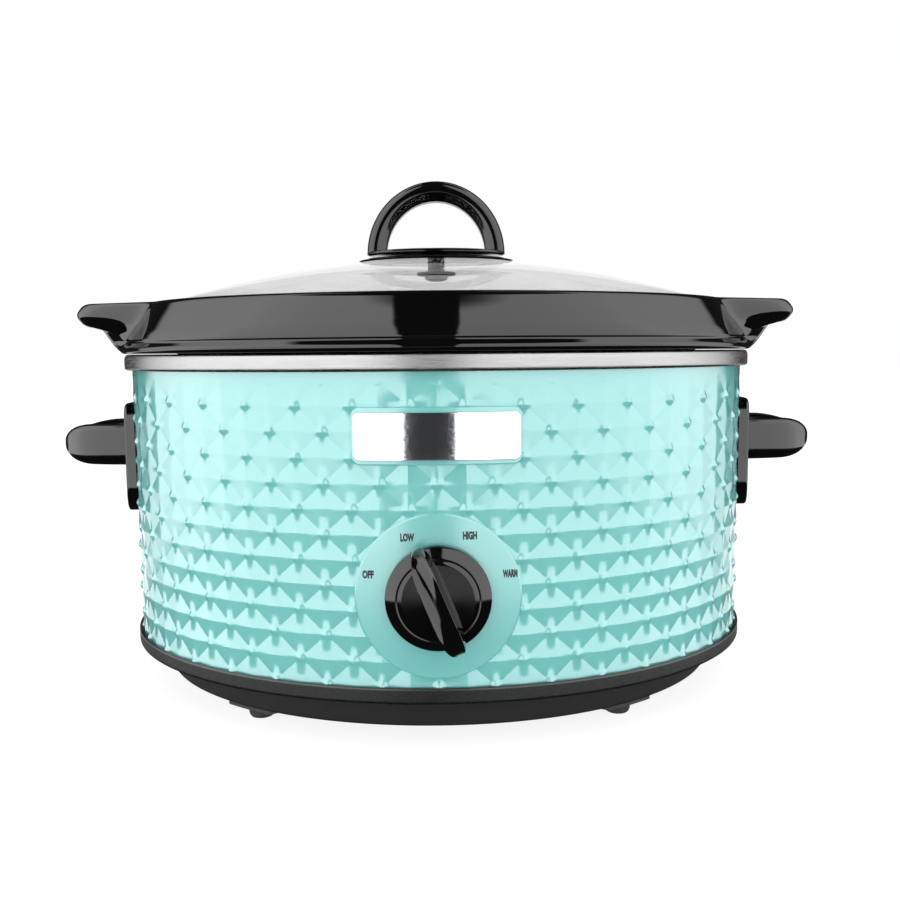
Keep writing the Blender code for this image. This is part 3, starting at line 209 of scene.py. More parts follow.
def make_finish(key):
    """The finish for one of the record's material slots."""
    tint = colours()
    kinds = {
        "enamel": dict(tone=tint.enamel, rough=0.22, spread=0.03, mottle=0.03, grain=900, bump=0.05,
                       Coat_Weight=1.0, Coat_Roughness=0.12, IOR=1.6),
        "stoneware": dict(tone=tint.glaze, rough=0.035, spread=0.012, mottle=0.2, grain=500, bump=0.006,
                          IOR=1.41),
        "gloss_plastic": dict(tone=tint.plastic, rough=0.07, spread=0.02, mottle=0.1, grain=2200, bump=0.03,
                              IOR=1.43),
        "tray_plastic": dict(tone=tint.tray, rough=0.42, spread=0.06, mottle=0.15, grain=3000, bump=0.25),
        "tray_band": dict(tone=(0.002, 0.003, 0.003), rough=0.30, spread=0.05, mottle=0.1, grain=2600,
                          bump=0.10),
        "rubber": dict(tone=(0.018, 0.018, 0.018), rough=0.75, spread=0.08, mottle=0.2, grain=2500, bump=0.4),
        "aluminium": dict(tone=tint.metal, rough=0.30, metallic=1.0, spread=0.06, mottle=0.03, grain=700,
                          bump=0.06, stretch=(0.15, 0.15, 3.0)),
        "chrome": dict(tone=(0.80, 0.82, 0.85), rough=0.07, metallic=1.0, spread=0.03, mottle=0.02,
                       grain=1500, bump=0.01),
        "steel": dict(tone=(0.56, 0.56, 0.57), rough=0.34, metallic=1.0, spread=0.10, mottle=0.10,
                      grain=900, bump=0.12),
        "mica": dict(tone=(0.62, 0.56, 0.42), rough=0.55, spread=0.15, patch=220, mottle=0.35, grain=700,
                     bump=0.25),
        "switch_plastic": dict(tone=(0.70, 0.68, 0.61), rough=0.50, spread=0.05, mottle=0.05, grain=2500,
                               bump=0.2),
        "lead_red": dict(tone=(0.42, 0.04, 0.03), rough=0.45, spread=0.06, mottle=0.10, grain=1800, bump=0.2),
        "lead_white": dict(tone=(0.76, 0.75, 0.70), rough=0.45, spread=0.06, mottle=0.06, grain=1800,
                           bump=0.2),
        "silicone": dict(tone=(0.62, 0.62, 0.60), rough=0.55, spread=0.05, mottle=0.04, grain=2000,
                         bump=0.15),
        "glass": dict(tone=(0.97, 0.99, 0.985), rough=0.01, spread=0.008, mottle=0.01, patch=25, grain=60,
                      bump=0.01, Transmission_Weight=1.0, IOR=1.35, Alpha=0.2),
        "dial_ink": dict(tone=(0.004, 0.005, 0.006), rough=0.45, spread=0.05, mottle=0.3, grain=4000,
                         bump=0.1),
    }
    return finish(key, **kinds[key])


# Mesh helpers


def add_piece(name, made, key):
    """Smooth-shades a finished bmesh or mesh and adds it to the scene with its finish."""
    if isinstance(made, bmesh.types.BMesh):
        data = bpy.data.meshes.new(name)
        made.to_mesh(data)
        made.free()
    else:
        data = made
        data.name = name
    data.materials.clear()
    data.materials.append(make_finish(key))
    data.shade_smooth()
    data.set_sharp_from_angle(angle=math.radians(38))
    piece = bpy.data.objects.new(name, data)
    bpy.context.scene.collection.objects.link(piece)
    return piece


def settle(piece, body, nodes=()):
    """Puts the piece under its body's empty, and hides the CAD nodes that it stands for."""
    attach(piece, body)
    if nodes:
        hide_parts(*nodes)
    return piece


def rounded_path(corners, closed=False, steps=4):
    """Points along a path of (a, b, c, ease) corners: each corner is rounded over its ease."""
    spots = [Vector(corner[:3]) for corner in corners]
    count = len(spots)
    path = []
    for i, here in enumerate(spots):
        if not closed and i in (0, count - 1):
            path.append(here)
            continue
        back, ahead = spots[i - 1] - here, spots[(i + 1) % count] - here
        reach = min(corners[i][3], back.length * 0.4, ahead.length * 0.4)
        start, end = here + back.normalized() * reach, here + ahead.normalized() * reach
        path.append(here + back.normalized() * reach * 1.2)
        for step in range(steps + 1):
            t = step / steps
            path.append(start * (1 - t) ** 2 + here * (2 * t * (1 - t)) + end * t * t)
        path.append(here + ahead.normalized() * reach * 1.2)
    return path


def skin(loops, ring=False, caps=True):
    """A bmesh skinned over matching loops, capped at its ends or joined last to first."""
    built = bmesh.new()
    rows = [[built.verts.new(point) for point in loop] for loop in loops]
    count = len(rows[0])
    pairs = list(zip(rows, rows[1:]))
    if ring:
        pairs.append((rows[-1], rows[0]))
    for low, high in pairs:
        for i in range(count):
            j = (i + 1) % count
            built.faces.new((low[i], low[j], high[j], high[i]))
    if caps and not ring:
        built.faces.new(rows[0])
        built.faces.new(rows[-1])
    bmesh.ops.remove_doubles(built, verts=built.verts, dist=1e-7)
    bmesh.ops.recalc_face_normals(built, faces=built.faces)
    return built


def ellipse(half_x, half_y, z, count, centre_y=MIDDLE_Y):
    turn = 2 * math.pi / count
    return [Vector((half_x * math.cos(i * turn), centre_y + half_y * math.sin(i * turn), z))
            for i in range(count)]


def wall(offset, z, ease=0.0):
    """A corner of a section at this offset outside the shell's plain wall."""
    return HALF_X + offset, HALF_Y + offset, z, ease


def oval_skin(corners, count=192, closed=False, centre_y=MIDDLE_Y, steps=4):
    """A body whose section is a rounded path of (half width, half depth, height, ease) corners."""
    path = rounded_path(corners, closed, steps)
    return skin([ellipse(p.x, p.y, p.z, count, centre_y) for p in path], ring=closed)


def turned(corners, count=64, closed=False, place=None, steps=4):
    """A round body from (radius, height, ease) corners along its own Z axis."""
    built = oval_skin([(r, r, z, ease) for r, z, ease in corners], count, closed, 0.0, steps)
    if place is not None:
        built.transform(place)
    return built


def on_front(across, up, offset):
    """A point on the front of the oval wall."""
    reach = HALF_X + offset
    return Vector((across, MIDDLE_Y - (HALF_Y + offset) * math.sqrt(1 - (across / reach) ** 2), up))


def on_side(side):
    """The same for the end of the oval on this side."""
    def place(across, up, offset):
        reach = HALF_Y + offset
        x = side * (HALF_X + offset) * math.sqrt(1 - (across / reach) ** 2)
        return Vector((x, MIDDLE_Y + side * across, up))
    return place


def rounded_rectangle(half_u, half_v, corner, inset, steps=6, sides=10):
    """A rounded rectangle's outline drawn in by the inset, with the same points for every inset."""
    points = []
    core_u, core_v = half_u - corner, half_v - corner
    radius = corner - inset
    if radius < 0:
        core_u, core_v, radius = max(0.0, core_u + radius), max(0.0, core_v + radius), 0.0
    for quarter, (sign_u, sign_v) in enumerate(((1, 1), (-1, 1), (-1, -1), (1, -1))):
        for i in range(steps + 1):
            angle = math.pi / 2 * (quarter + i / steps)
            points.append((sign_u * core_u + radius * math.cos(angle),
                           sign_v * core_v + radius * math.sin(angle)))
        turn = ((-1, 0), (0, -1), (1, 0), (0, 1))[quarter]
        run = 2 * (core_u if turn[0] else core_v)
        last = points[-1]
        for i in range(1, sides):
            share = run * i / sides
            points.append((last[0] + turn[0] * share, last[1] + turn[1] * share))
    return points


def circle_outline(radius, inset, steps=96):
    turn = 2 * math.pi / steps
    reach = radius - inset
    return [(reach * math.cos(i * turn), reach * math.sin(i * turn)) for i in range(steps)]


def wall_plate(outline, insets, place, z, low, high, ease=0.0004, dome=0.0):
    """A plate that follows a wall between two offsets; the outline is a function of its inset."""
    edge = rounded_path([(0, low, 0, 0), (0, high, 0, ease), (insets[0], high, 0, 0)], steps=5)
    rings = [(0.6 * insets[-1], low), (0.02 * insets[-1], low)]
    rings += [(p.x, p.y) for p in edge]
    rings += [(inset, high + dome * (inset / insets[-1]) ** 0.5) for inset in insets[1:]]
    loops = [[place(u, z + v, offset) for u, v in outline(inset)] for inset, offset in rings]
    return skin(loops)


def combine(target, other, operation):
    """The target mesh with another joined to it or cut from it, as a new mesh."""
    pair = []
    for built in (target, other):
        if isinstance(built, bmesh.types.BMesh):
            data = bpy.data.meshes.new("part")
            bmesh.ops.triangulate(built, faces=built.faces)
            built.to_mesh(data)
            built.free()
        else:
            data = built
        held = bpy.data.objects.new("part", data)
        bpy.context.scene.collection.objects.link(held)
        pair.append(held)
    step = pair[0].modifiers.new("join", "BOOLEAN")
    step.operation = operation
    step.solver = "MANIFOLD"
    step.object = pair[1]
    result = bpy.data.meshes.new_from_object(pair[0].evaluated_get(bpy.context.evaluated_depsgraph_get()))
    for held in pair:
        data = held.data
        bpy.data.objects.remove(held)
        bpy.data.meshes.remove(data)
    if not result.polygons:
        raise RuntimeError(f"{operation} left nothing")
    return result


def rod(centre, direction, radius, start, end, count=32):
    """A plain round cutter along a direction."""
    turn = Vector((0, 0, 1)).rotation_difference(Vector(direction)).to_matrix().to_4x4()
    place = Matrix.Translation(centre) @ turn
    return turned([(radius, start, 0), (radius, end, 0)], count, place=place)


# Geometry Nodes trees


def new_tree(name, inputs):
    """A Geometry Nodes tree with named inputs, its group input and its group output."""
    tree = bpy.data.node_groups.new(name, "GeometryNodeTree")
    for label, kind in inputs:
        tree.interface.new_socket(label, in_out="INPUT", socket_type=f"NodeSocket{kind}")
    tree.interface.new_socket("Geometry", in_out="OUTPUT", socket_type="NodeSocketGeometry")
    return tree, tree.nodes.new("NodeGroupInput").outputs, tree.nodes.new("NodeGroupOutput")


def grow(name, tree, start, values):
    """Runs a tree on a start mesh with its inputs by name, and returns the grown plain mesh."""
    held = bpy.data.objects.new(name, start)
    bpy.context.scene.collection.objects.link(held)
    step = held.modifiers.new(name, "NODES")
    step.node_group = tree
    for item in tree.interface.items_tree:
        if item.in_out == "INPUT" and item.name in values:
            step[item.identifier] = values[item.name]
    result = bpy.data.meshes.new_from_object(held.evaluated_get(bpy.context.evaluated_depsgraph_get()))
    bpy.data.objects.remove(held)
    if not result.polygons:
        raise RuntimeError(f"{name} grew nothing")
    return result


def hold_apart(name, data):
    """An object outside the scene, for a tree to read."""
    return bpy.data.objects.new(name, data)


# Over what stretch the relief fades out: inside a round place's edge, at the badge's frame, above the
# shell's lower edge and below its top
ROUND_FADE = (0.0022, 0.0006)
FRAME_FADE = (-0.0020, -0.0004)
LOW_FADE = (0.0006, 0.0024)
TOP_FADE = (0.0150, 0.0078)


def relief_tree():
    """Repeats a tile of diamonds over a sheet, wraps it round an oval and flattens it where asked."""
    tree, given, result = new_tree("embossed_wall", [
        ("Geometry", "Geometry"), ("Tile", "Object"), ("Columns", "Int"), ("Rows", "Int"),
        ("Row Pitch", "Float"), ("First Row", "Float"), ("Low", "Float"), ("High", "Float"),
        ("Relief", "Float"), ("Sink", "Float"), ("Pad Height", "Float"), ("Pad Radius", "Float"),
        ("Frame Height", "Float"), ("Frame Half Width", "Float"), ("Frame Half Height", "Float"),
        ("Gland Height", "Float"), ("Gland Radius", "Float"), ("Middle", "Float"),
        ("Material", "Material")])

    def math_node(kind, *values):
        return sum_node(tree, "ShaderNodeMath", kind, *values)

    def vector_node(kind, *values):
        return sum_node(tree, "ShaderNodeVectorMath", kind, *values)

    def rise(value, low, high):
        made = node(tree, "ShaderNodeMapRange", {"Value": value, "From Min": low, "From Max": high},
                    interpolation_type="SMOOTHSTEP")
        return made.outputs["Result"]

    span = math_node("MULTIPLY", given["Row Pitch"], 2)
    wide = math_node("SUBTRACT", given["Columns"], 1)
    tall = math_node("MULTIPLY", math_node("SUBTRACT", given["Rows"], 1), span)
    grid = node(tree, "GeometryNodeMeshGrid", {
        "Size X": wide, "Size Y": tall, "Vertices X": given["Columns"], "Vertices Y": given["Rows"]})
    corner = node(tree, "ShaderNodeCombineXYZ", {
        "X": math_node("DIVIDE", wide, 2),
        "Y": math_node("ADD", given["First Row"], math_node("DIVIDE", tall, 2))})
    spread = node(tree, "GeometryNodeTransform", {"Geometry": grid.outputs["Mesh"],
                                                  "Translation": corner.outputs["Vector"]})
    tile = node(tree, "GeometryNodeObjectInfo", {"Object": given["Tile"]})
    stretch = node(tree, "ShaderNodeCombineXYZ", {"X": 1.0, "Y": span, "Z": 1.0})
    laid = node(tree, "GeometryNodeInstanceOnPoints", {
        "Points": spread.outputs["Geometry"], "Instance": tile.outputs["Geometry"],
        "Scale": stretch.outputs["Vector"]})
    sheet = node(tree, "GeometryNodeRealizeInstances", {"Geometry": laid.outputs["Instances"]})
    flat = node(tree, "ShaderNodeSeparateXYZ", {"Vector": node(tree, "GeometryNodeInputPosition").outputs[0]})
    up = node(tree, "ShaderNodeClamp", {"Value": flat.outputs["Y"], "Min": given["Low"],
                                        "Max": given["High"]}).outputs[0]
    path = node(tree, "GeometryNodeMeshToCurve", {"Mesh": given["Geometry"]})
    turn = math_node("DIVIDE", flat.outputs["X"], given["Columns"])
    spot = node(tree, "GeometryNodeSampleCurve", {"Curves": path.outputs["Curve"], "Factor": turn},
                mode="FACTOR")
    base = node(tree, "ShaderNodeSeparateXYZ", {"Vector": spot.outputs["Position"]})
    outward = vector_node("NORMALIZE", vector_node("CROSS_PRODUCT", spot.outputs["Tangent"], (0, 0, 1)))
    across = math_node("ABSOLUTE", base.outputs["X"])
    behind = math_node("GREATER_THAN", base.outputs["Y"], given["Middle"])
    ahead = math_node("LESS_THAN", base.outputs["Y"], given["Middle"])

    def away_from(height, radius, other_half):
        """1 outside a round place at this height on one half of the oval, 0 inside it."""
        drop = math_node("SUBTRACT", up, height)
        away = math_node("SQRT", math_node("ADD", math_node("MULTIPLY", across, across),
                                           math_node("MULTIPLY", drop, drop)))
        start, end = (math_node("SUBTRACT", radius, inside) for inside in ROUND_FADE)
        return math_node("MAXIMUM", rise(away, start, end), other_half)

    off_pad = away_from(given["Pad Height"], given["Pad Radius"], behind)
    off_gland = away_from(given["Gland Height"], given["Gland Radius"], ahead)
    beside = math_node("SUBTRACT", across, given["Frame Half Width"])
    above = math_node("SUBTRACT", math_node("ABSOLUTE", math_node("SUBTRACT", up, given["Frame Height"])),
                      given["Frame Half Height"])
    off_frame = math_node("MAXIMUM", rise(math_node("MAXIMUM", beside, above), *FRAME_FADE), behind)
    over_low = rise(up, *(math_node("ADD", given["Low"], lift) for lift in LOW_FADE))
    near_top = rise(up, *(math_node("SUBTRACT", given["High"], drop) for drop in TOP_FADE))
    under_top = math_node("SUBTRACT", 1, near_top)
    share = over_low
    for other in (under_top, off_pad, off_gland, off_frame):
        share = math_node("MULTIPLY", share, other)
    height = math_node("SUBTRACT", math_node("MULTIPLY", flat.outputs["Z"], given["Relief"]), given["Sink"])
    reach = math_node("MULTIPLY", height, share)
    lifted = node(tree, "ShaderNodeCombineXYZ", {"X": base.outputs["X"], "Y": base.outputs["Y"], "Z": up})
    where = vector_node("ADD", lifted.outputs["Vector"], vector_node("SCALE", outward, reach))
    wrapped = node(tree, "GeometryNodeSetPosition", {"Geometry": sheet.outputs["Geometry"],
                                                     "Position": where})
    joined = node(tree, "GeometryNodeMergeByDistance", {"Geometry": wrapped.outputs["Geometry"],
                                                        "Distance": 0.00004})
    painted = node(tree, "GeometryNodeSetMaterial", {"Geometry": joined.outputs["Geometry"],
                                                     "Material": given["Material"]})
    tree.links.new(painted.outputs["Geometry"], result.inputs["Geometry"])
    return tree


def repeat_tree():
    """Sets one piece at every point of the start mesh."""
    tree, given, result = new_tree("repeat_piece", [("Geometry", "Geometry"), ("Piece", "Object"),
                                                    ("Material", "Material")])
    piece = node(tree, "GeometryNodeObjectInfo", {"Object": given["Piece"]})
    laid = node(tree, "GeometryNodeInstanceOnPoints", {"Points": given["Geometry"],
                                                       "Instance": piece.outputs["Geometry"]})
    whole = node(tree, "GeometryNodeRealizeInstances", {"Geometry": laid.outputs["Instances"]})
    painted = node(tree, "GeometryNodeSetMaterial", {"Geometry": whole.outputs["Geometry"],
                                                     "Material": given["Material"]})
    tree.links.new(painted.outputs["Geometry"], result.inputs["Geometry"])
    return tree


# Shell


def relief_tile(stud_radius, stud_height, column_pitch, row_pitch):
    """One column wide and two rows high, 1 by 1: four blocks, each with a valley across it.
    Z is in units of the relief: 1 in the middle of a diamond, 0 along its edges."""
    steps = [0, 0.06, 0.12, 0.18, 0.26, 0.74, 0.82, 0.88, 0.94, 1]
    places = [s / 2 for s in steps] + [0.5 + s / 2 for s in steps[1:]]
    built = bmesh.new()

    def level(x, y):
        block_x, block_y = (x * 2) % 2, (y * 2) % 2
        along = block_x if block_x <= 1 else 2 - block_x
        up = block_y if block_y <= 1 else 2 - block_y
        facet = abs(along - up)
        studs = 0.0
        for corner_x, corner_y in ((0, 0), (1, 1)):
            away = math.hypot((along - corner_x) * column_pitch / 2, (up - corner_y) * row_pitch)
            if away < stud_radius:
                studs = stud_height * (1 - (away / stud_radius) ** 2) ** 2
        return facet + studs

    rows = [[built.verts.new((x, y, level(x, y))) for x in places] for y in places]
    half = len(steps) - 1
    for j in range(2 * half):
        for i in range(2 * half):
            a, b = rows[j][i], rows[j][i + 1]
            c, d = rows[j + 1][i + 1], rows[j + 1][i]
            rising = (i < half) == (j < half)
            if rising:
                built.faces.new((a, b, c))
                built.faces.new((a, c, d))
            else:
                built.faces.new((a, b, d))
                built.faces.new((b, c, d))
    data = bpy.data.meshes.new("relief_tile")
    built.to_mesh(data)
    built.free()
    return data


def oval_path(count=720):
    """The shell's plain wall as a closed line that starts at the front."""
    data = bpy.data.meshes.new("wall_path")
    points = []
    for i in range(count):
        angle = 2 * math.pi * i / count - math.pi / 2
        points.append((HALF_X * math.cos(angle), MIDDLE_Y + HALF_Y * math.sin(angle), 0))
    data.from_pydata(points, [(i, (i + 1) % count) for i in range(count)], [])
    return data


def embossed_wall(inner_steps=148):
    """The embossed outer face, closed with a plain inner face behind it."""
    size = sizes()
    perimeter = math.pi * (3 * (HALF_X + HALF_Y) - math.sqrt((3 * HALF_X + HALF_Y) * (HALF_X + 3 * HALF_Y)))
    tile = hold_apart("relief_tile", relief_tile(size.stud_radius, size.stud_height / size.relief,
                                                 perimeter / size.columns, size.row_pitch))
    span = 2 * size.row_pitch
    below = math.ceil((size.stud_row - SHELL_Z) / span)
    first = size.stud_row - below * span
    outer = grow("embossed_wall", relief_tree(), oval_path(), {
        "Tile": tile, "Columns": size.columns, "Rows": math.ceil((SHELL_TOP - first) / span),
        "Row Pitch": size.row_pitch, "First Row": first, "Low": SHELL_Z, "High": SHELL_TOP,
        "Relief": size.relief, "Sink": size.sink, "Pad Height": KNOB_Z, "Pad Radius": size.pad_radius,
        "Frame Height": BADGE_Z, "Frame Half Width": size.frame_half_width,
        "Frame Half Height": size.frame_half_height, "Gland Height": GLAND_Z, "Gland Radius": 0.0125,
        "Middle": MIDDLE_Y, "Material": make_finish("enamel")})
    built = bmesh.new()
    built.from_mesh(outer)
    edges = [edge for edge in built.edges if edge.is_boundary]
    rims = {}
    for edge in edges:
        rims.setdefault(edge.verts[0].co.z > KNOB_Z, []).append(edge)
    inner = []
    for offset, z in ((-0.0008, SHELL_Z), (-0.0013, SHELL_Z + 0.0050), (-0.0013, SHELL_TOP - 0.0060),
                      (-0.0008, SHELL_TOP)):
        inner.append([built.verts.new(p) for p in ellipse(HALF_X + offset, HALF_Y + offset, z, inner_steps)])
    for low, high in zip(inner, inner[1:]):
        for i in range(inner_steps):
            j = (i + 1) % inner_steps
            built.faces.new((low[j], low[i], high[i], high[j]))
    for top, row in ((False, inner[0]), (True, inner[-1])):
        ring = [built.edges.get((row[i], row[(i + 1) % inner_steps])) for i in range(inner_steps)]
        bmesh.ops.bridge_loops(built, edges=rims[top] + ring)
    bmesh.ops.recalc_face_normals(built, faces=built.faces)
    return built


def outward(x, y):
    """The direction straight out of the oval wall at a place on it."""
    return Vector((x / HALF_X ** 2, (y - MIDDLE_Y) / HALF_Y ** 2, 0)).normalized()


def screw_line(word, end):
    """Where a side handle's screw crosses the wall, and its direction outwards."""
    low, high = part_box(f"handle_screw_{word}_{end}")
    y = (low[1] + high[1]) / 2
    x = (-1 if word == "left" else 1) * HALF_X * math.sqrt(1 - ((y - MIDDLE_Y) / HALF_Y) ** 2)
    return (x, y, GRIP_Z), outward(x, y)


def crisp(data, most_tilt=math.radians(12), least_fold=math.radians(6)):
    """Keeps the edges between the flat facets of the relief sharp, and its studs smooth."""
    built = bmesh.new()
    built.from_mesh(data)

    def tilt(face):
        spot = face.calc_center_median()
        return face.normal.angle(outward(spot.x, spot.y), math.pi)

    flat = {face for face in built.faces if tilt(face) < most_tilt}
    for edge in built.edges:
        if len(edge.link_faces) == 2 and flat.issuperset(edge.link_faces):
            if edge.calc_face_angle() > least_fold:
                edge.smooth = False
    built.to_mesh(data)
    built.free()


class COOKER_OT_shell(bpy.types.Operator):
    """Builds the embossed enamel shell with its dial pad and badge frame"""

    bl_idname = "cooker.shell"
    bl_label = "Enamel Shell"

    def execute(self, context):
        size = sizes()
        shell = embossed_wall()
        insets = [0.0022, 0.004, 0.008, 0.014, 0.020, 0.026, 0.030]
        pad = wall_plate(lambda inset: circle_outline(size.pad_radius, inset), insets, on_front, KNOB_Z,
                         -0.0008, PAD_RAISE, 0.0008)
        insets = [0.0016, 0.0025, 0.0045, 0.0075, 0.0104]
        border = wall_plate(lambda inset: rounded_rectangle(size.frame_half_width, size.frame_half_height,
                                                            0.003, inset),
                            insets, on_front, BADGE_Z, -0.0008, 0.0010, 0.0005)
        shell = combine(shell, pad, "UNION")
        shell = combine(shell, border, "UNION")
        near, far = HALF_Y / 2, HALF_Y * 1.2
        cuts = [rod((0, MIDDLE_Y, KNOB_Z), (0, -1, 0), 0.0049, near, far),
                rod((0, MIDDLE_Y, GLAND_Z), (0, 1, 0), 0.0072, near, far)]
        for word, side in (("left", -1), ("right", 1)):
            cuts.append(rod((side * BADGE_PIN_X, MIDDLE_Y, BADGE_Z), (0, -1, 0), 0.0014, near, far, 16))
            for end in ("front", "rear"):
                cuts.append(rod(*screw_line(word, end), SCREW_HOLE, -0.02, 0.02, 16))
        for cut in cuts:
            shell = combine(shell, cut, "DIFFERENCE")
        piece = add_piece("enamel_shell", shell, "enamel")
        crisp(piece.data)
        settle(piece, "base", ["outer_shell"])
        return {"FINISHED"}


class COOKER_OT_liner(bpy.types.Operator):
    """Builds the aluminium heating liner with its rolled rim"""

    bl_idname = "cooker.liner"
    bl_label = "Liner and Rolled Rim"

    def execute(self, context):
        top, floor = RIM_TOP, LINER_FLOOR
        corners = [
            (0.02, 0.02, floor, 0), wall(-0.0220, floor, 0.0060), wall(-0.0140, top - 0.0030, 0.0030),
            wall(-0.0105, top, 0.0024), wall(0.0032, top, 0.0030), wall(0.0032, top - 0.0068, 0.0018),
            wall(0.0004, top - 0.0068, 0.0004), wall(0.0003, top - 0.0008, 0.0006),
            wall(-0.0108, top - 0.0008, 0.0020), wall(-0.0132, top - 0.0036, 0.0030),
            wall(-0.0212, floor - 0.0008, 0.0060), (0.02, 0.02, floor - 0.0008, 0),
        ]
        liner = oval_skin(corners, 192, steps=5)
        for side in (-1, 1):
            hole = rod((side * BOLT_X, MIDDLE_Y, floor), (0, 0, 1), BOLT_HOLE, -0.004, 0.004)
            liner = combine(liner, hole, "DIFFERENCE")
        settle(add_piece("rolled_liner", liner, "aluminium"), "base", ["heating_liner"])
        return {"FINISHED"}


# Tray and feet


class COOKER_OT_tray(bpy.types.Operator):
    """Builds the moulded base tray and its four rubber feet"""

    bl_idname = "cooker.tray"
    bl_label = "Base Tray and Feet"

    def execute(self, context):
        skirt, band = TRAY_LOW[2] + 0.0018, SHELL_Z - 0.0023
        ledge = SHELL_Z - 0.0003
        boss_radius, neck = 0.0135, 0.0030

        def under(inset, z, ease):
            return HALF_X - inset, HALF_Y - inset + 0.0076, z, ease

        corners = [
            (0.02, 0.02, skirt, 0), under(0.0130, skirt, 0.0012), under(0.0110, band, 0.0004),
            wall(0.0018, band, 0.0010), wall(0.0018, band + 0.0060, 0.0007),
            wall(0.0004, band + 0.0060, 0.0002), wall(0.0003, ledge, 0.0002),
            wall(-0.0011, ledge, 0.0002), wall(-0.0011, ledge + 0.0042, 0.0003),
            wall(-0.0023, ledge + 0.0042, 0.0003), wall(-0.0023, ledge, 0.0003),
            under(0.0130, ledge, 0.0006), under(0.0150, skirt + 0.0020, 0.0020),
            (0.02, 0.02, skirt + 0.0020, 0),
        ]
        tray = oval_skin(corners, 192)
        spots = []
        for name in FEET:
            low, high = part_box(name)
            spots.append(Vector(((low[0] + high[0]) / 2, (low[1] + high[1]) / 2, 0)))
        for spot in spots:
            boss = turned([(boss_radius, skirt - 0.0018, 0), (boss_radius, skirt + 0.0010, 0)], 64,
                          place=Matrix.Translation(spot))
            trim = oval_skin([under(0.0144, 0, 0), under(0.0144, 0.02, 0)], 192)
            tray = combine(tray, combine(boss, trim, "INTERSECT"), "UNION")
            tray = combine(tray, rod(spot, (0, 0, 1), neck, 0, skirt + 0.004), "DIFFERENCE")
        for side in (-1, 1):
            hole = rod((side * BOLT_X, MIDDLE_Y, skirt), (0, 0, 1), BOLT_HOLE, -0.004, 0.004)
            tray = combine(tray, hole, "DIFFERENCE")
        piece = settle(add_piece("moulded_tray", tray, "tray_plastic"), "base", ["base_tray"])
        piece.data.materials.append(make_finish("tray_band"))
        for face in piece.data.polygons:
            if band - 0.0002 < face.center.z:
                face.material_index = 1
        under_boss = skirt - 0.0021
        over = skirt + 0.0023
        profile = [
            (0.0012, 0.0, 0), (0.0045, 0.0, 0.0006), (0.0052, 0.0012, 0.0006), (0.0056, under_boss, 0.0003),
            (0.0026, under_boss, 0.0002), (0.0026, over, 0.0002), (0.0042, over + 0.0002, 0.0003),
            (0.0026, over + 0.0030, 0.0004), (0.0008, over + 0.0031, 0),
        ]
        foot = bpy.data.meshes.new("foot")
        shape = turned(profile, 48)
        shape.to_mesh(foot)
        shape.free()
        points = bpy.data.meshes.new("foot_spots")
        points.from_pydata(spots, [], [])
        feet = grow("rubber_feet", repeat_tree(), points, {"Piece": hold_apart("foot", foot),
                                                           "Material": make_finish("rubber")})
        settle(add_piece("rubber_feet", feet, "rubber"), "base", FEET)
        return {"FINISHED"}


# Side handles, badge and cord gland


def signed_power(value, power):
    return math.copysign(abs(value) ** power, value)


def grip_loop(tip_x, start_x, path_steps=56, section_steps=32):
    """Sections along a D-shaped path; the bar's height draws in towards the nose of the grip."""
    bar, half_length, nose_length, height = 0.0098, 0.0255, 0.0180, 0.0185
    reach, half = tip_x - bar / 2 - start_x, half_length - bar / 2
    loops = []
    for i in range(path_steps + 1):
        angle = math.pi * (i / path_steps - 0.5)
        across = signed_power(math.sin(angle), 2 / 2.8)
        forward = abs(math.cos(angle)) ** (2 / 2.8)
        centre = Vector((start_x + reach * forward, MIDDLE_Y + half * across, GRIP_Z))
        normal = Vector((forward ** 1.8 / reach, signed_power(across, 1.8) / half, 0)).normalized()
        loop = []
        for j in range(section_steps):
            turn = 2 * math.pi * (j + 0.5) / section_steps
            point = centre + normal * signed_power(math.cos(turn), 0.75) * bar / 2
            nose = max(0.0, (point.x - tip_x) / nose_length + 1)
            tall = height / 2 * math.sqrt(max(0.03, 1 - nose ** 2))
            loop.append(point + Vector((0, 0, tall * signed_power(math.sin(turn), 0.45))))
        loops.append(loop)
    return loops


class COOKER_OT_grips(bpy.types.Operator):
    """Builds the two side handles, each a plate with a D-shaped grip"""

    bl_idname = "cooker.grips"
    bl_label = "Side Handles"

    def execute(self, context):
        half_length, half_height, corner = 0.0275, (GRIP_HIGH[2] - GRIP_LOW[2]) / 2, 0.012
        for word, side in (("left", -1), ("right", 1)):
            insets = [0.0030, 0.0055, 0.010, 0.016, 0.022, 0.0245]
            plate = wall_plate(lambda inset: rounded_rectangle(half_length, half_height, corner, inset),
                               insets, on_side(side), GRIP_PLATE_Z, 0.0003, 0.0047, 0.0026)
            grip = skin(grip_loop(GRIP_HIGH[0], HALF_X - 0.014))
            if side < 0:
                grip.transform(Matrix.Scale(-1, 4, (1, 0, 0)))
                bmesh.ops.reverse_faces(grip, faces=grip.faces)
            core = oval_skin([wall(0.0003, GRIP_Z - 0.02), wall(0.0003, GRIP_Z + 0.02)], 256)
            handle = combine(plate, combine(grip, core, "DIFFERENCE"), "UNION")
            for end in ("front", "rear"):
                hole = rod(*screw_line(word, end), SCREW_HOLE, -0.004, 0.0095, 16)
                handle = combine(handle, hole, "DIFFERENCE")
            settle(add_piece(f"side_grip_{word}", handle, "gloss_plastic"), "base",
                   [f"side_handle_{word}"])
        return {"FINISHED"}


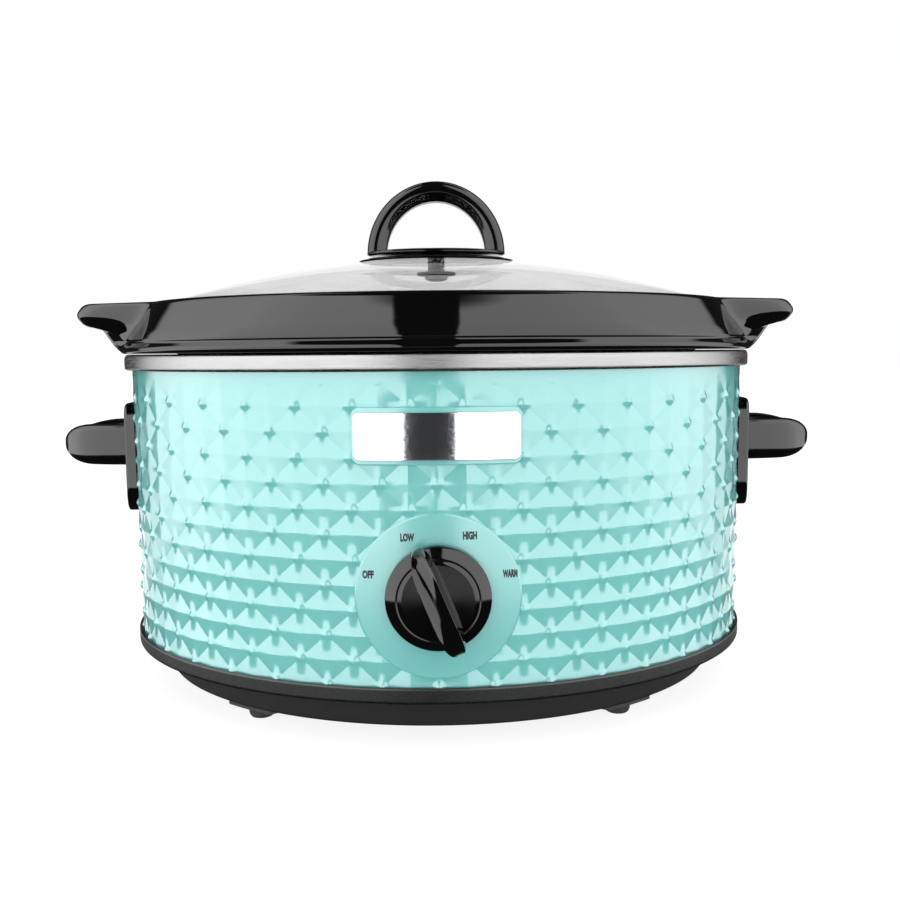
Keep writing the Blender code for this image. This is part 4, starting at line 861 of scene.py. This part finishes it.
class COOKER_OT_badge(bpy.types.Operator):
    """Builds the plain polished plate above the knob"""

    bl_idname = "cooker.badge"
    bl_label = "Badge Plate"

    def execute(self, context):
        half_width = BADGE_HIGH[0]
        half_height = (BADGE_HIGH[2] - BADGE_LOW[2]) / 2
        insets = [0.0006, 0.0012, 0.003, 0.0055, 0.0083]
        plate = wall_plate(lambda inset: rounded_rectangle(half_width, half_height, 0.002, inset), insets,
                           on_front, BADGE_Z, 0.0013, 0.0025, 0.0005)
        for side in (-1, 1):
            pin = rod((side * BADGE_PIN_X, MIDDLE_Y, BADGE_Z), (0, -1, 0), 0.0010, HALF_Y - 0.0055,
                      HALF_Y + 0.0005, 16)
            plate = combine(plate, pin, "UNION")
        settle(add_piece("polished_badge", plate, "chrome"), "base", ["badge_plate"])
        return {"FINISHED"}


class COOKER_OT_gland(bpy.types.Operator):
    """Builds the bush at the rear that the supply cord passes through"""

    bl_idname = "cooker.gland"
    bl_label = "Cord Gland"

    def execute(self, context):
        inner, outer = HALF_Y - 0.0014, HALF_Y + 0.0003
        profile = [
            (0.0036, inner - 0.0030, 0.0004), (0.0080, inner - 0.0030, 0.0004), (0.0086, inner, 0.0004),
            (0.0068, inner, 0.0002), (0.0068, outer, 0.0002), (0.0092, outer, 0.0003),
            (0.0092, outer + 0.0020, 0.0006), (0.0084, outer + 0.0030, 0.0004),
            (0.0066, outer + 0.0030, 0.0003), (0.0064, outer + 0.0040, 0.0004),
            (0.0050, outer + 0.0040, 0.0006), (0.0036, outer + 0.0030, 0.0005),
        ]
        turn = Vector((0, 0, 1)).rotation_difference(Vector((0, 1, 0))).to_matrix().to_4x4()
        bush = turned(profile, 64, True, Matrix.Translation((0, MIDDLE_Y, GLAND_Z)) @ turn)
        settle(add_piece("cord_bush", bush, "tray_plastic"), "base", ["cord_gland"])
        return {"FINISHED"}


# Knob and dial


def dial_place():
    """Places a piece made along local Z on the knob's axis, with local Z = 0 at the dial pad's face."""
    return Matrix.Translation((0, PAD_FACE_Y, KNOB_Z)) @ Matrix.Rotation(math.pi / 2, 4, "X")


class COOKER_OT_knob(bpy.types.Operator):
    """Builds the heat switch's knob: a bevelled disc with a scooped bar"""

    bl_idname = "cooker.knob"
    bl_label = "Knob"

    def execute(self, context):
        radius = sizes().knob_radius
        back, face, hub = 0.0009, 0.0062, 0.0040
        reach = PAD_FACE_Y - KNOB_LOW[1]
        half_length = 0.0205
        profile = [
            (hub, back + 0.0032, 0), (radius - 0.0040, back + 0.0032, 0.0004),
            (radius - 0.0040, back, 0.0004), (radius, back, 0.0004), (radius, face - 0.0026, 0.0008),
            (radius * 0.80, face, 0.0010), (radius * 0.76, face - 0.0002, 0.0004),
            (radius * 0.70, face + 0.0002, 0.0012), (hub, face + 0.0004, 0),
        ]
        knob = turned(profile, 128)
        loops = []
        stations = 44
        for i in range(stations + 1):
            t = math.sin(math.pi / 2 * (2 * i / stations - 1))
            bow = math.sqrt(max(0.0, 1 - abs(t) ** 3))
            full = max(0.0, 1 - abs(t) ** 5.0) ** 0.5
            half = 0.0044 * (0.10 + 0.90 * full)
            low = face - 0.0012
            top = face + 0.0010 + (reach - face - 0.0010) * bow
            scoop = 0.0016 * full
            section = [
                (half, 0, low, 0), (half * 0.98, 0, low + (top - low) * 0.5, 0.002),
                (half * 0.86, 0, top, 0.0006), (half * 0.50, 0, top - scoop * 0.8, 0.0010),
                (0, 0, top - scoop, 0.0010),
                (-half * 0.50, 0, top - scoop * 0.8, 0.0010), (-half * 0.86, 0, top, 0.0006),
                (-half * 0.98, 0, low + (top - low) * 0.5, 0.002), (-half, 0, low, 0),
            ]
            path = rounded_path(section, steps=3)
            loops.append([Vector((p.x, t * half_length, p.z)) for p in path])
        knob = combine(knob, skin(loops), "UNION")
        shaft, flat = 0.0029, 0.0021
        well = []
        for z in (0.0, face + 0.0063):
            ring = circle_outline(shaft, 0, 40)
            well.append([Vector((x, min(y, flat), z)) for x, y in ring])
        knob = combine(knob, skin(well), "DIFFERENCE")
        knob.transform(dial_place() @ Matrix.Rotation(KNOB_REST_ANGLE, 4, "Z"))
        settle(add_piece("heat_knob", knob, "gloss_plastic"), "knob", ["control_knob"])
        return {"FINISHED"}


WORDS = (("OFF", -0.0257, 0.0666, 0.0043), ("LOW", -0.0111, 0.0805, 0.0051),
         ("HIGH", 0.0117, 0.0810, 0.0052), ("WARM", 0.0264, 0.0664, 0.0055))


LETTER_STROKE = 0.060
INK_LIFT = 0.00003
INK_THICKNESS = 0.003


class COOKER_OT_words(bpy.types.Operator):
    """Prints the heat settings on the dial pad"""

    bl_idname = "cooker.words"
    bl_label = "Dial Words"

    def execute(self, context):
        height = sizes().letter_height
        joined = bmesh.new()
        for word, across, up, width in WORDS:
            text = bpy.data.curves.new(word, "FONT")
            text.body = word
            text.size = 1.0
            text.offset = LETTER_STROKE
            text.extrude = 0.01
            text.resolution_u = 3
            held = bpy.data.objects.new(word, text)
            context.scene.collection.objects.link(held)
            flat = bpy.data.meshes.new_from_object(held.evaluated_get(context.evaluated_depsgraph_get()))
            bpy.data.objects.remove(held)
            xs = [v.co.x for v in flat.vertices]
            ys = [v.co.y for v in flat.vertices]
            middle_x, middle_y = (min(xs) + max(xs)) / 2, (min(ys) + max(ys)) / 2
            scale_x, scale_y = width / (max(xs) - min(xs)), height / (max(ys) - min(ys))
            for vertex in flat.vertices:
                x, y, z = vertex.co
                vertex.co = on_front(across + (x - middle_x) * scale_x, up + (y - middle_y) * scale_y,
                                     PAD_RAISE + INK_LIFT + z * INK_THICKNESS)
            joined.from_mesh(flat)
            bpy.data.meshes.remove(flat)
        bmesh.ops.remove_doubles(joined, verts=joined.verts, dist=1e-6)
        bmesh.ops.recalc_face_normals(joined, faces=joined.faces)
        piece = add_piece("dial_words", joined, "dial_ink")
        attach(piece, "base")
        return {"FINISHED"}


# Crock


def tab_share(angle):
    """1 across the carrying tab at each end of the crock, easing to 0 along its sides."""
    t = min(1.0, max(0.0, (abs(math.sin(angle)) - 0.24) / 0.20))
    return 1 - t * t * (3 - 2 * t)


class COOKER_OT_crock(bpy.types.Operator):
    """Builds the glazed crock with its flared rim and two carrying tabs"""

    bl_idname = "cooker.crock"
    bl_label = "Crock"

    def execute(self, context):
        rest, top, bottom = CROCK_REST, CROCK_HIGH[2], CROCK_LOW[2]
        seat = GLASS_LOW[2] - 0.0003
        tip = CROCK_HIGH[0] - HALF_X
        under_tab = top - 0.0105
        floor = bottom + 0.0070
        sides = [
            (-0.0340, bottom, 0.0004), (-0.0280, bottom, 0.0070), (-0.0200, rest, 0.0010),
            (0.0036, rest, 0.0010), (0.0042, rest + 0.0022, 0.0014), (0.0020, rest + 0.0044, 0.0008),
            (0.0024, rest + 0.0056, 0.0010), (0.0012, rest + 0.0085, 0.0030),
            (-0.0026, top - 0.0070, 0.0040), (-0.0062, top - 0.0010, 0.0016), (-0.0084, top, 0.0010),
            (-0.0098, top - 0.0004, 0.0005), (-0.0108, seat, 0.0008), (-0.0178, seat, 0.0012),
            (-0.0188, seat - 0.0040, 0.0010), (-0.0270, rest - 0.0020, 0.0060),
            (-0.0350, floor, 0.0090), (-0.0500, floor, 0.0004),
        ]
        tabs = list(sides)
        tabs[4] = (0.0063, rest + 0.0026, 0.0014)
        tabs[5] = (0.0088, rest + 0.0062, 0.0030)
        tabs[6] = (0.0120, under_tab - 0.0004, 0.0016)
        tabs[7] = (tip - 0.0036, under_tab + 0.0004, 0.0034)
        tabs[8] = (tip, under_tab + 0.0052, 0.0040)
        tabs[9] = (tip - 0.0036, top - 0.0004, 0.0034)
        tabs[10] = (tip - 0.0120, top - 0.0002, 0.0030)
        count = 288
        paths = []
        for i in range(count):
            angle = 2 * math.pi * i / count
            share = tab_share(angle)
            under = share ** 2.5
            corners = []
            for i, (plain, tab) in enumerate(zip(sides, tabs)):
                blend = under if i <= 7 else share
                offset, z, ease = (a + (b - a) * blend for a, b in zip(plain, tab))
                corners.append((offset, 0, z, ease))
            path = rounded_path(corners, steps=5)
            paths.append([Vector(((HALF_X + p.x) * math.cos(angle),
                                  MIDDLE_Y + (HALF_Y + p.x) * math.sin(angle), p.z)) for p in path])
        crock = skin([list(loop) for loop in zip(*paths)])
        settle(add_piece("glazed_crock", crock, "stoneware"), "crock", ["crock"])
        return {"FINISHED"}


# Lid


def glass_rise(share):
    """Height of the glass's outer face above its edge, by the share of the way out to the edge."""
    return 1 - share ** 2.1


class COOKER_OT_lid(bpy.types.Operator):
    """Builds the glass lid, its oval plate and its arched handle"""

    bl_idname = "cooker.lid"
    bl_label = "Glass Lid and Handle"

    def execute(self, context):
        self.glass()
        self.plate()
        self.arch()
        return {"FINISHED"}

    def glass(self):
        half_x, half_y = GLASS_HIGH[0], GLASS_HIGH[1] - MIDDLE_Y
        edge, top = GLASS_LOW[2], GLASS_HIGH[2]
        thick, hole = 0.0040, 0.0042
        rise = top - edge - thick
        shares = [0.985, 0.96, 0.92, 0.86, 0.78, 0.68, 0.56, 0.44, 0.32, 0.20, 0.10]
        loops = []
        for share in shares[::-1]:
            loops.append(ellipse(half_x * share, half_y * share, edge + rise * glass_rise(share), 192))
        for share, z in ((0.992, edge + 0.0002), (1.0, edge + 0.0012), (1.0, edge + thick - 0.0012),
                         (0.994, edge + thick + 0.0001)):
            loops.append(ellipse(half_x * share, half_y * share, z, 192))
        for share in shares:
            z = edge + thick + rise * glass_rise(share)
            loops.append(ellipse(half_x * share, half_y * share, z, 192))
        crown = edge + thick + rise * glass_rise(hole / half_x)
        loops.append(ellipse(hole, hole, crown, 192))
        loops.append(ellipse(hole, hole, crown - thick, 192))
        settle(add_piece("domed_glass", skin(loops, ring=True), "glass"), "lid", ["lid_glass"])

    def plate(self):
        half_x, half_y = PLATE_HIGH[0], PLATE_HIGH[1] - MIDDLE_Y
        low, high = PLATE_LOW[2], PLATE_HIGH[2]
        corners = [
            (0.0042, 0.0042, low + 0.0002, 0.0001), (half_x * 0.96, half_y * 0.96, low, 0.0008),
            (half_x, half_y, low + 0.0006, 0.0003), (half_x * 0.93, half_y * 0.93, low + 0.0014, 0.0012),
            (half_x * 0.60, half_y * 0.60, high, 0.0040), (0.0042, 0.0042, high, 0.0001),
        ]
        plate = oval_skin(corners, 128, True)
        settle(add_piece("lid_shield", plate, "gloss_plastic"), "lid", ["lid_handle_plate"])

    def arch(self):
        low, high = HANDLE_BASE_Z, HANDLE_BASE_Z + 0.0030
        half_x, half_y = 0.0325, 0.0180
        radial, depth = 0.0094, 0.0112
        spring = low + 0.0006
        boss, bore = 0.0038, 0.0023
        corners = [
            (0.002, 0.002, low, 0), (half_x * 0.96, half_y * 0.96, low, 0.0006),
            (half_x, half_y, low + 0.0008, 0.0005), (half_x * 0.97, half_y * 0.94, low + 0.0020, 0.0010),
            (half_x * 0.70, half_y * 0.60, high, 0.0040), (0.002, 0.002, high, 0),
        ]
        handle = oval_skin(corners, 128)
        arch_half, arch_height = 0.0275, ARCH_HIGH[2] - radial / 2 - spring
        loops = []
        steps = 72
        for i in range(steps + 1):
            angle = math.pi * i / steps
            centre = Vector((arch_half * math.cos(angle), MIDDLE_Y, spring + arch_height * math.sin(angle)))
            out = Vector((math.cos(angle) / arch_half, 0, math.sin(angle) / arch_height)).normalized()
            u, v = radial / 2, depth / 2
            section = [(u, 0, 0, 0.0001), (u * 0.96, v * 0.55, 0, 0.0020), (u * 0.55, v, 0, 0.0018),
                       (-u * 0.25, v, 0, 0.0014), (-u, v * 0.62, 0, 0.0012),
                       (-u, -v * 0.62, 0, 0.0012), (-u * 0.25, -v, 0, 0.0014), (u * 0.55, -v, 0, 0.0018),
                       (u * 0.96, -v * 0.55, 0, 0.0020)]
            loops.append([centre + out * p.x + Vector((0, p.y, 0)) for p in rounded_path(section, True, 4)])
        handle = combine(handle, skin(loops), "UNION")
        boss_low = ARCH_LOW[2]
        handle = combine(handle, rod((0, MIDDLE_Y, 0), (0, 0, 1), boss, boss_low, low + 0.001), "UNION")
        hole = rod((0, MIDDLE_Y, 0), (0, 0, 1), bore, boss_low - 0.001, high - 0.001)
        handle = combine(handle, hole, "DIFFERENCE")
        settle(add_piece("arched_handle", handle, "gloss_plastic"), "lid", ["lid_handle"])


# CAD nodes that stay, and the stage


class COOKER_OT_fittings(bpy.types.Operator):
    """Gives the CAD pieces that stay in view their finishes"""

    bl_idname = "cooker.fittings"
    bl_label = "Fittings"

    def execute(self, context):
        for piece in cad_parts.values():
            for slot in piece.material_slots:
                key = slot.material.name.split(".")[0] if slot.material else "steel"
                slot.material = make_finish(key)
        return {"FINISHED"}


# Name, place, size and power of each soft lamp
LAMPS = (("overhead", (-0.30, -0.50, 1.60), (1.60, 1.60), 2.5),
         ("front_left", (-1.30, -1.20, 0.90), (0.90, 0.90), 1.0))

# Where reflections see the panels, as stretches of the direction's X, Y and Z over which each edge fades
LEFT_PANEL = (-0.185, -0.165)
RIGHT_PANEL = (0.085, 0.100)
PANEL_FOOT = (-0.285, -0.245)
PANEL_HEAD = (0.88, 0.91)
PANEL_DIMS = (-0.1, 0.7)
PANEL_BACK_EDGE = (0.46, 0.53)
GAP_GLOW = (-0.20, -0.14)
BACKDROP_SIDES = (0.24, 0.30)
BACKDROP_FRONT = (0.76, 0.84)
DARK_ROOM = 0.03


class COOKER_OT_stage(bpy.types.Operator):
    """Sets the pale floor, the soft studio lights and the camera"""

    bl_idname = "cooker.stage"
    bl_label = "Stage"

    def execute(self, context):
        scene = context.scene
        self.floor()
        self.world(scene)
        for name, at, size, power in LAMPS:
            lamp = bpy.data.lights.new(name, "AREA")
            lamp.shape = "RECTANGLE"
            lamp.size, lamp.size_y = size
            lamp.energy = power
            held = bpy.data.objects.new(name, lamp)
            scene.collection.objects.link(held)
            aim = Vector((0, 0, 0.10)) - Vector(at)
            held.matrix_world = Matrix.Translation(at) @ aim.to_track_quat("-Z", "Y").to_matrix().to_4x4()
            held.visible_camera = False
            held.visible_glossy = False
        self.camera(scene)
        scene.view_settings.view_transform = "Standard"
        return {"FINISHED"}

    def floor(self):
        half = 6.0
        data = bpy.data.meshes.new("floor")
        data.from_pydata([(-half, -half, 0), (half, -half, 0), (half, half, 0), (-half, half, 0)], [],
                         [(0, 1, 2, 3)])
        floor = bpy.data.objects.new("floor", data)
        pale = finish("floor", (0.20, 0.20, 0.20), 0.6, mottle=0.01, patch=3, grain=40, bump=0.0,
                      Emission_Color=(1, 1, 1, 1), Emission_Strength=0.87)
        data.materials.append(pale)
        bpy.context.scene.collection.objects.link(floor)
        floor.visible_glossy = False
        floor.visible_diffuse = False

    def world(self, scene):
        """White for the eye and for soft light; reflections see two tall soft panels with a gap between."""
        world = bpy.data.worlds.new("studio")
        scene.world = world
        world.use_nodes = True
        world.cycles.sampling_method = "NONE"
        tree = world.node_tree
        tree.nodes.clear()
        out = node(tree, "ShaderNodeOutputWorld")
        path = node(tree, "ShaderNodeLightPath")
        backdrop = node(tree, "ShaderNodeBackground", {"Color": (1, 1, 1, 1), "Strength": BACKDROP_LIGHT})
        room = node(tree, "ShaderNodeBackground", {"Color": (1, 1, 1, 1), "Strength": ROOM_LIGHT})
        way = node(tree, "ShaderNodeSeparateXYZ",
                   {"Vector": node(tree, "ShaderNodeTexCoord").outputs["Generated"]})

        def ramp(value, low, high, start=0.0, end=1.0, kind="SMOOTHSTEP"):
            made = node(tree, "ShaderNodeMapRange", {"Value": value, "From Min": low, "From Max": high,
                                                     "To Min": start, "To Max": end},
                        interpolation_type=kind)
            return made.outputs["Result"]

        def join(kind, *values):
            return sum_node(tree, "ShaderNodeMath", kind, *values)

        left = ramp(way.outputs["X"], *LEFT_PANEL, 1.0, 0.0)
        right = ramp(way.outputs["X"], *RIGHT_PANEL, 0.0, 0.9)
        panels = join("MAXIMUM", left, right)
        foot = ramp(way.outputs["Z"], *PANEL_FOOT)
        for edge in (foot, ramp(way.outputs["Z"], *PANEL_HEAD, 1.0, 0.0),
                     ramp(way.outputs["Y"], *PANEL_DIMS, 1.0, 0.06, "LINEAR"),
                     ramp(way.outputs["Y"], *PANEL_BACK_EDGE, 1.0, 0.0)):
            panels = join("MULTIPLY", panels, edge)
        low_gap = join("MULTIPLY", foot, ramp(way.outputs["Z"], *GAP_GLOW, 0.3, 0.0))
        aside = join("ABSOLUTE", way.outputs["X"])
        backdrop_seen = join("MULTIPLY", ramp(aside, *BACKDROP_SIDES, 0.25, 0.0),
                             ramp(way.outputs["Y"], *BACKDROP_FRONT))
        for fill in (low_gap, backdrop_seen):
            panels = join("MAXIMUM", panels, fill)
        glow = join("ADD", join("MULTIPLY", panels, PANEL_LIGHT), DARK_ROOM)
        soft = node(tree, "ShaderNodeBackground", {"Color": (0.98, 0.98, 1, 1), "Strength": glow})
        mirrored = join("SUBTRACT", path.outputs["Is Glossy Ray"], path.outputs["Is Transmission Ray"])
        mirrored.node.use_clamp = True
        lit = node(tree, "ShaderNodeMixShader", {"Fac": path.outputs["Is Diffuse Ray"]})
        mixed = node(tree, "ShaderNodeMixShader", {"Fac": mirrored})
        tree.links.new(backdrop.outputs[0], lit.inputs[1])
        tree.links.new(room.outputs[0], lit.inputs[2])
        tree.links.new(lit.outputs[0], mixed.inputs[1])
        tree.links.new(soft.outputs[0], mixed.inputs[2])
        tree.links.new(mixed.outputs[0], out.inputs["Surface"])

    def camera(self, scene):
        lens = bpy.data.cameras.new("camera")
        lens.sensor_width = 36.0
        lens.lens = EYE_LENS
        held = bpy.data.objects.new("camera", lens)
        aside = Matrix.Rotation(-EYE_TURN, 4, "Z")
        tilt = Matrix.Rotation(math.pi / 2 - EYE_DIP, 4, "X")
        roll = Matrix.Rotation(-EYE_ROLL, 4, "Z")
        held.matrix_world = Matrix.Translation(EYE) @ aside @ tilt @ roll
        scene.collection.objects.link(held)
        scene.camera = held


STEPS = (COOKER_OT_shell, COOKER_OT_liner, COOKER_OT_tray, COOKER_OT_grips, COOKER_OT_badge,
         COOKER_OT_gland, COOKER_OT_knob, COOKER_OT_words, COOKER_OT_crock, COOKER_OT_lid,
         COOKER_OT_fittings, COOKER_OT_stage)


class COOKER_PT_panel(bpy.types.Panel):
    """Lists the pieces and their sizes"""

    bl_idname = "COOKER_PT_panel"
    bl_label = "Slow Cooker"
    bl_space_type = "VIEW_3D"
    bl_region_type = "UI"
    bl_category = "Slow Cooker"

    def draw(self, context):
        for group in (context.scene.cooker_sizes, context.scene.cooker_colours):
            column = self.layout.column(align=True)
            for name in group.__annotations__:
                column.prop(group, name)
        column = self.layout.column(align=True)
        for step in STEPS:
            column.operator(step.bl_idname)


CLASSES = (CookerSizes, CookerColours, *STEPS, COOKER_PT_panel)


def register():
    for each in CLASSES:
        bpy.utils.register_class(each)
    bpy.types.Scene.cooker_sizes = PointerProperty(type=CookerSizes)
    bpy.types.Scene.cooker_colours = PointerProperty(type=CookerColours)


def unregister():
    del bpy.types.Scene.cooker_colours
    del bpy.types.Scene.cooker_sizes
    for each in reversed(CLASSES):
        bpy.utils.unregister_class(each)


def main():
    register()
    for step in STEPS:
        group, name = step.bl_idname.split(".")
        getattr(getattr(bpy.ops, group), name)()


if __name__ == "__main__":
    main()
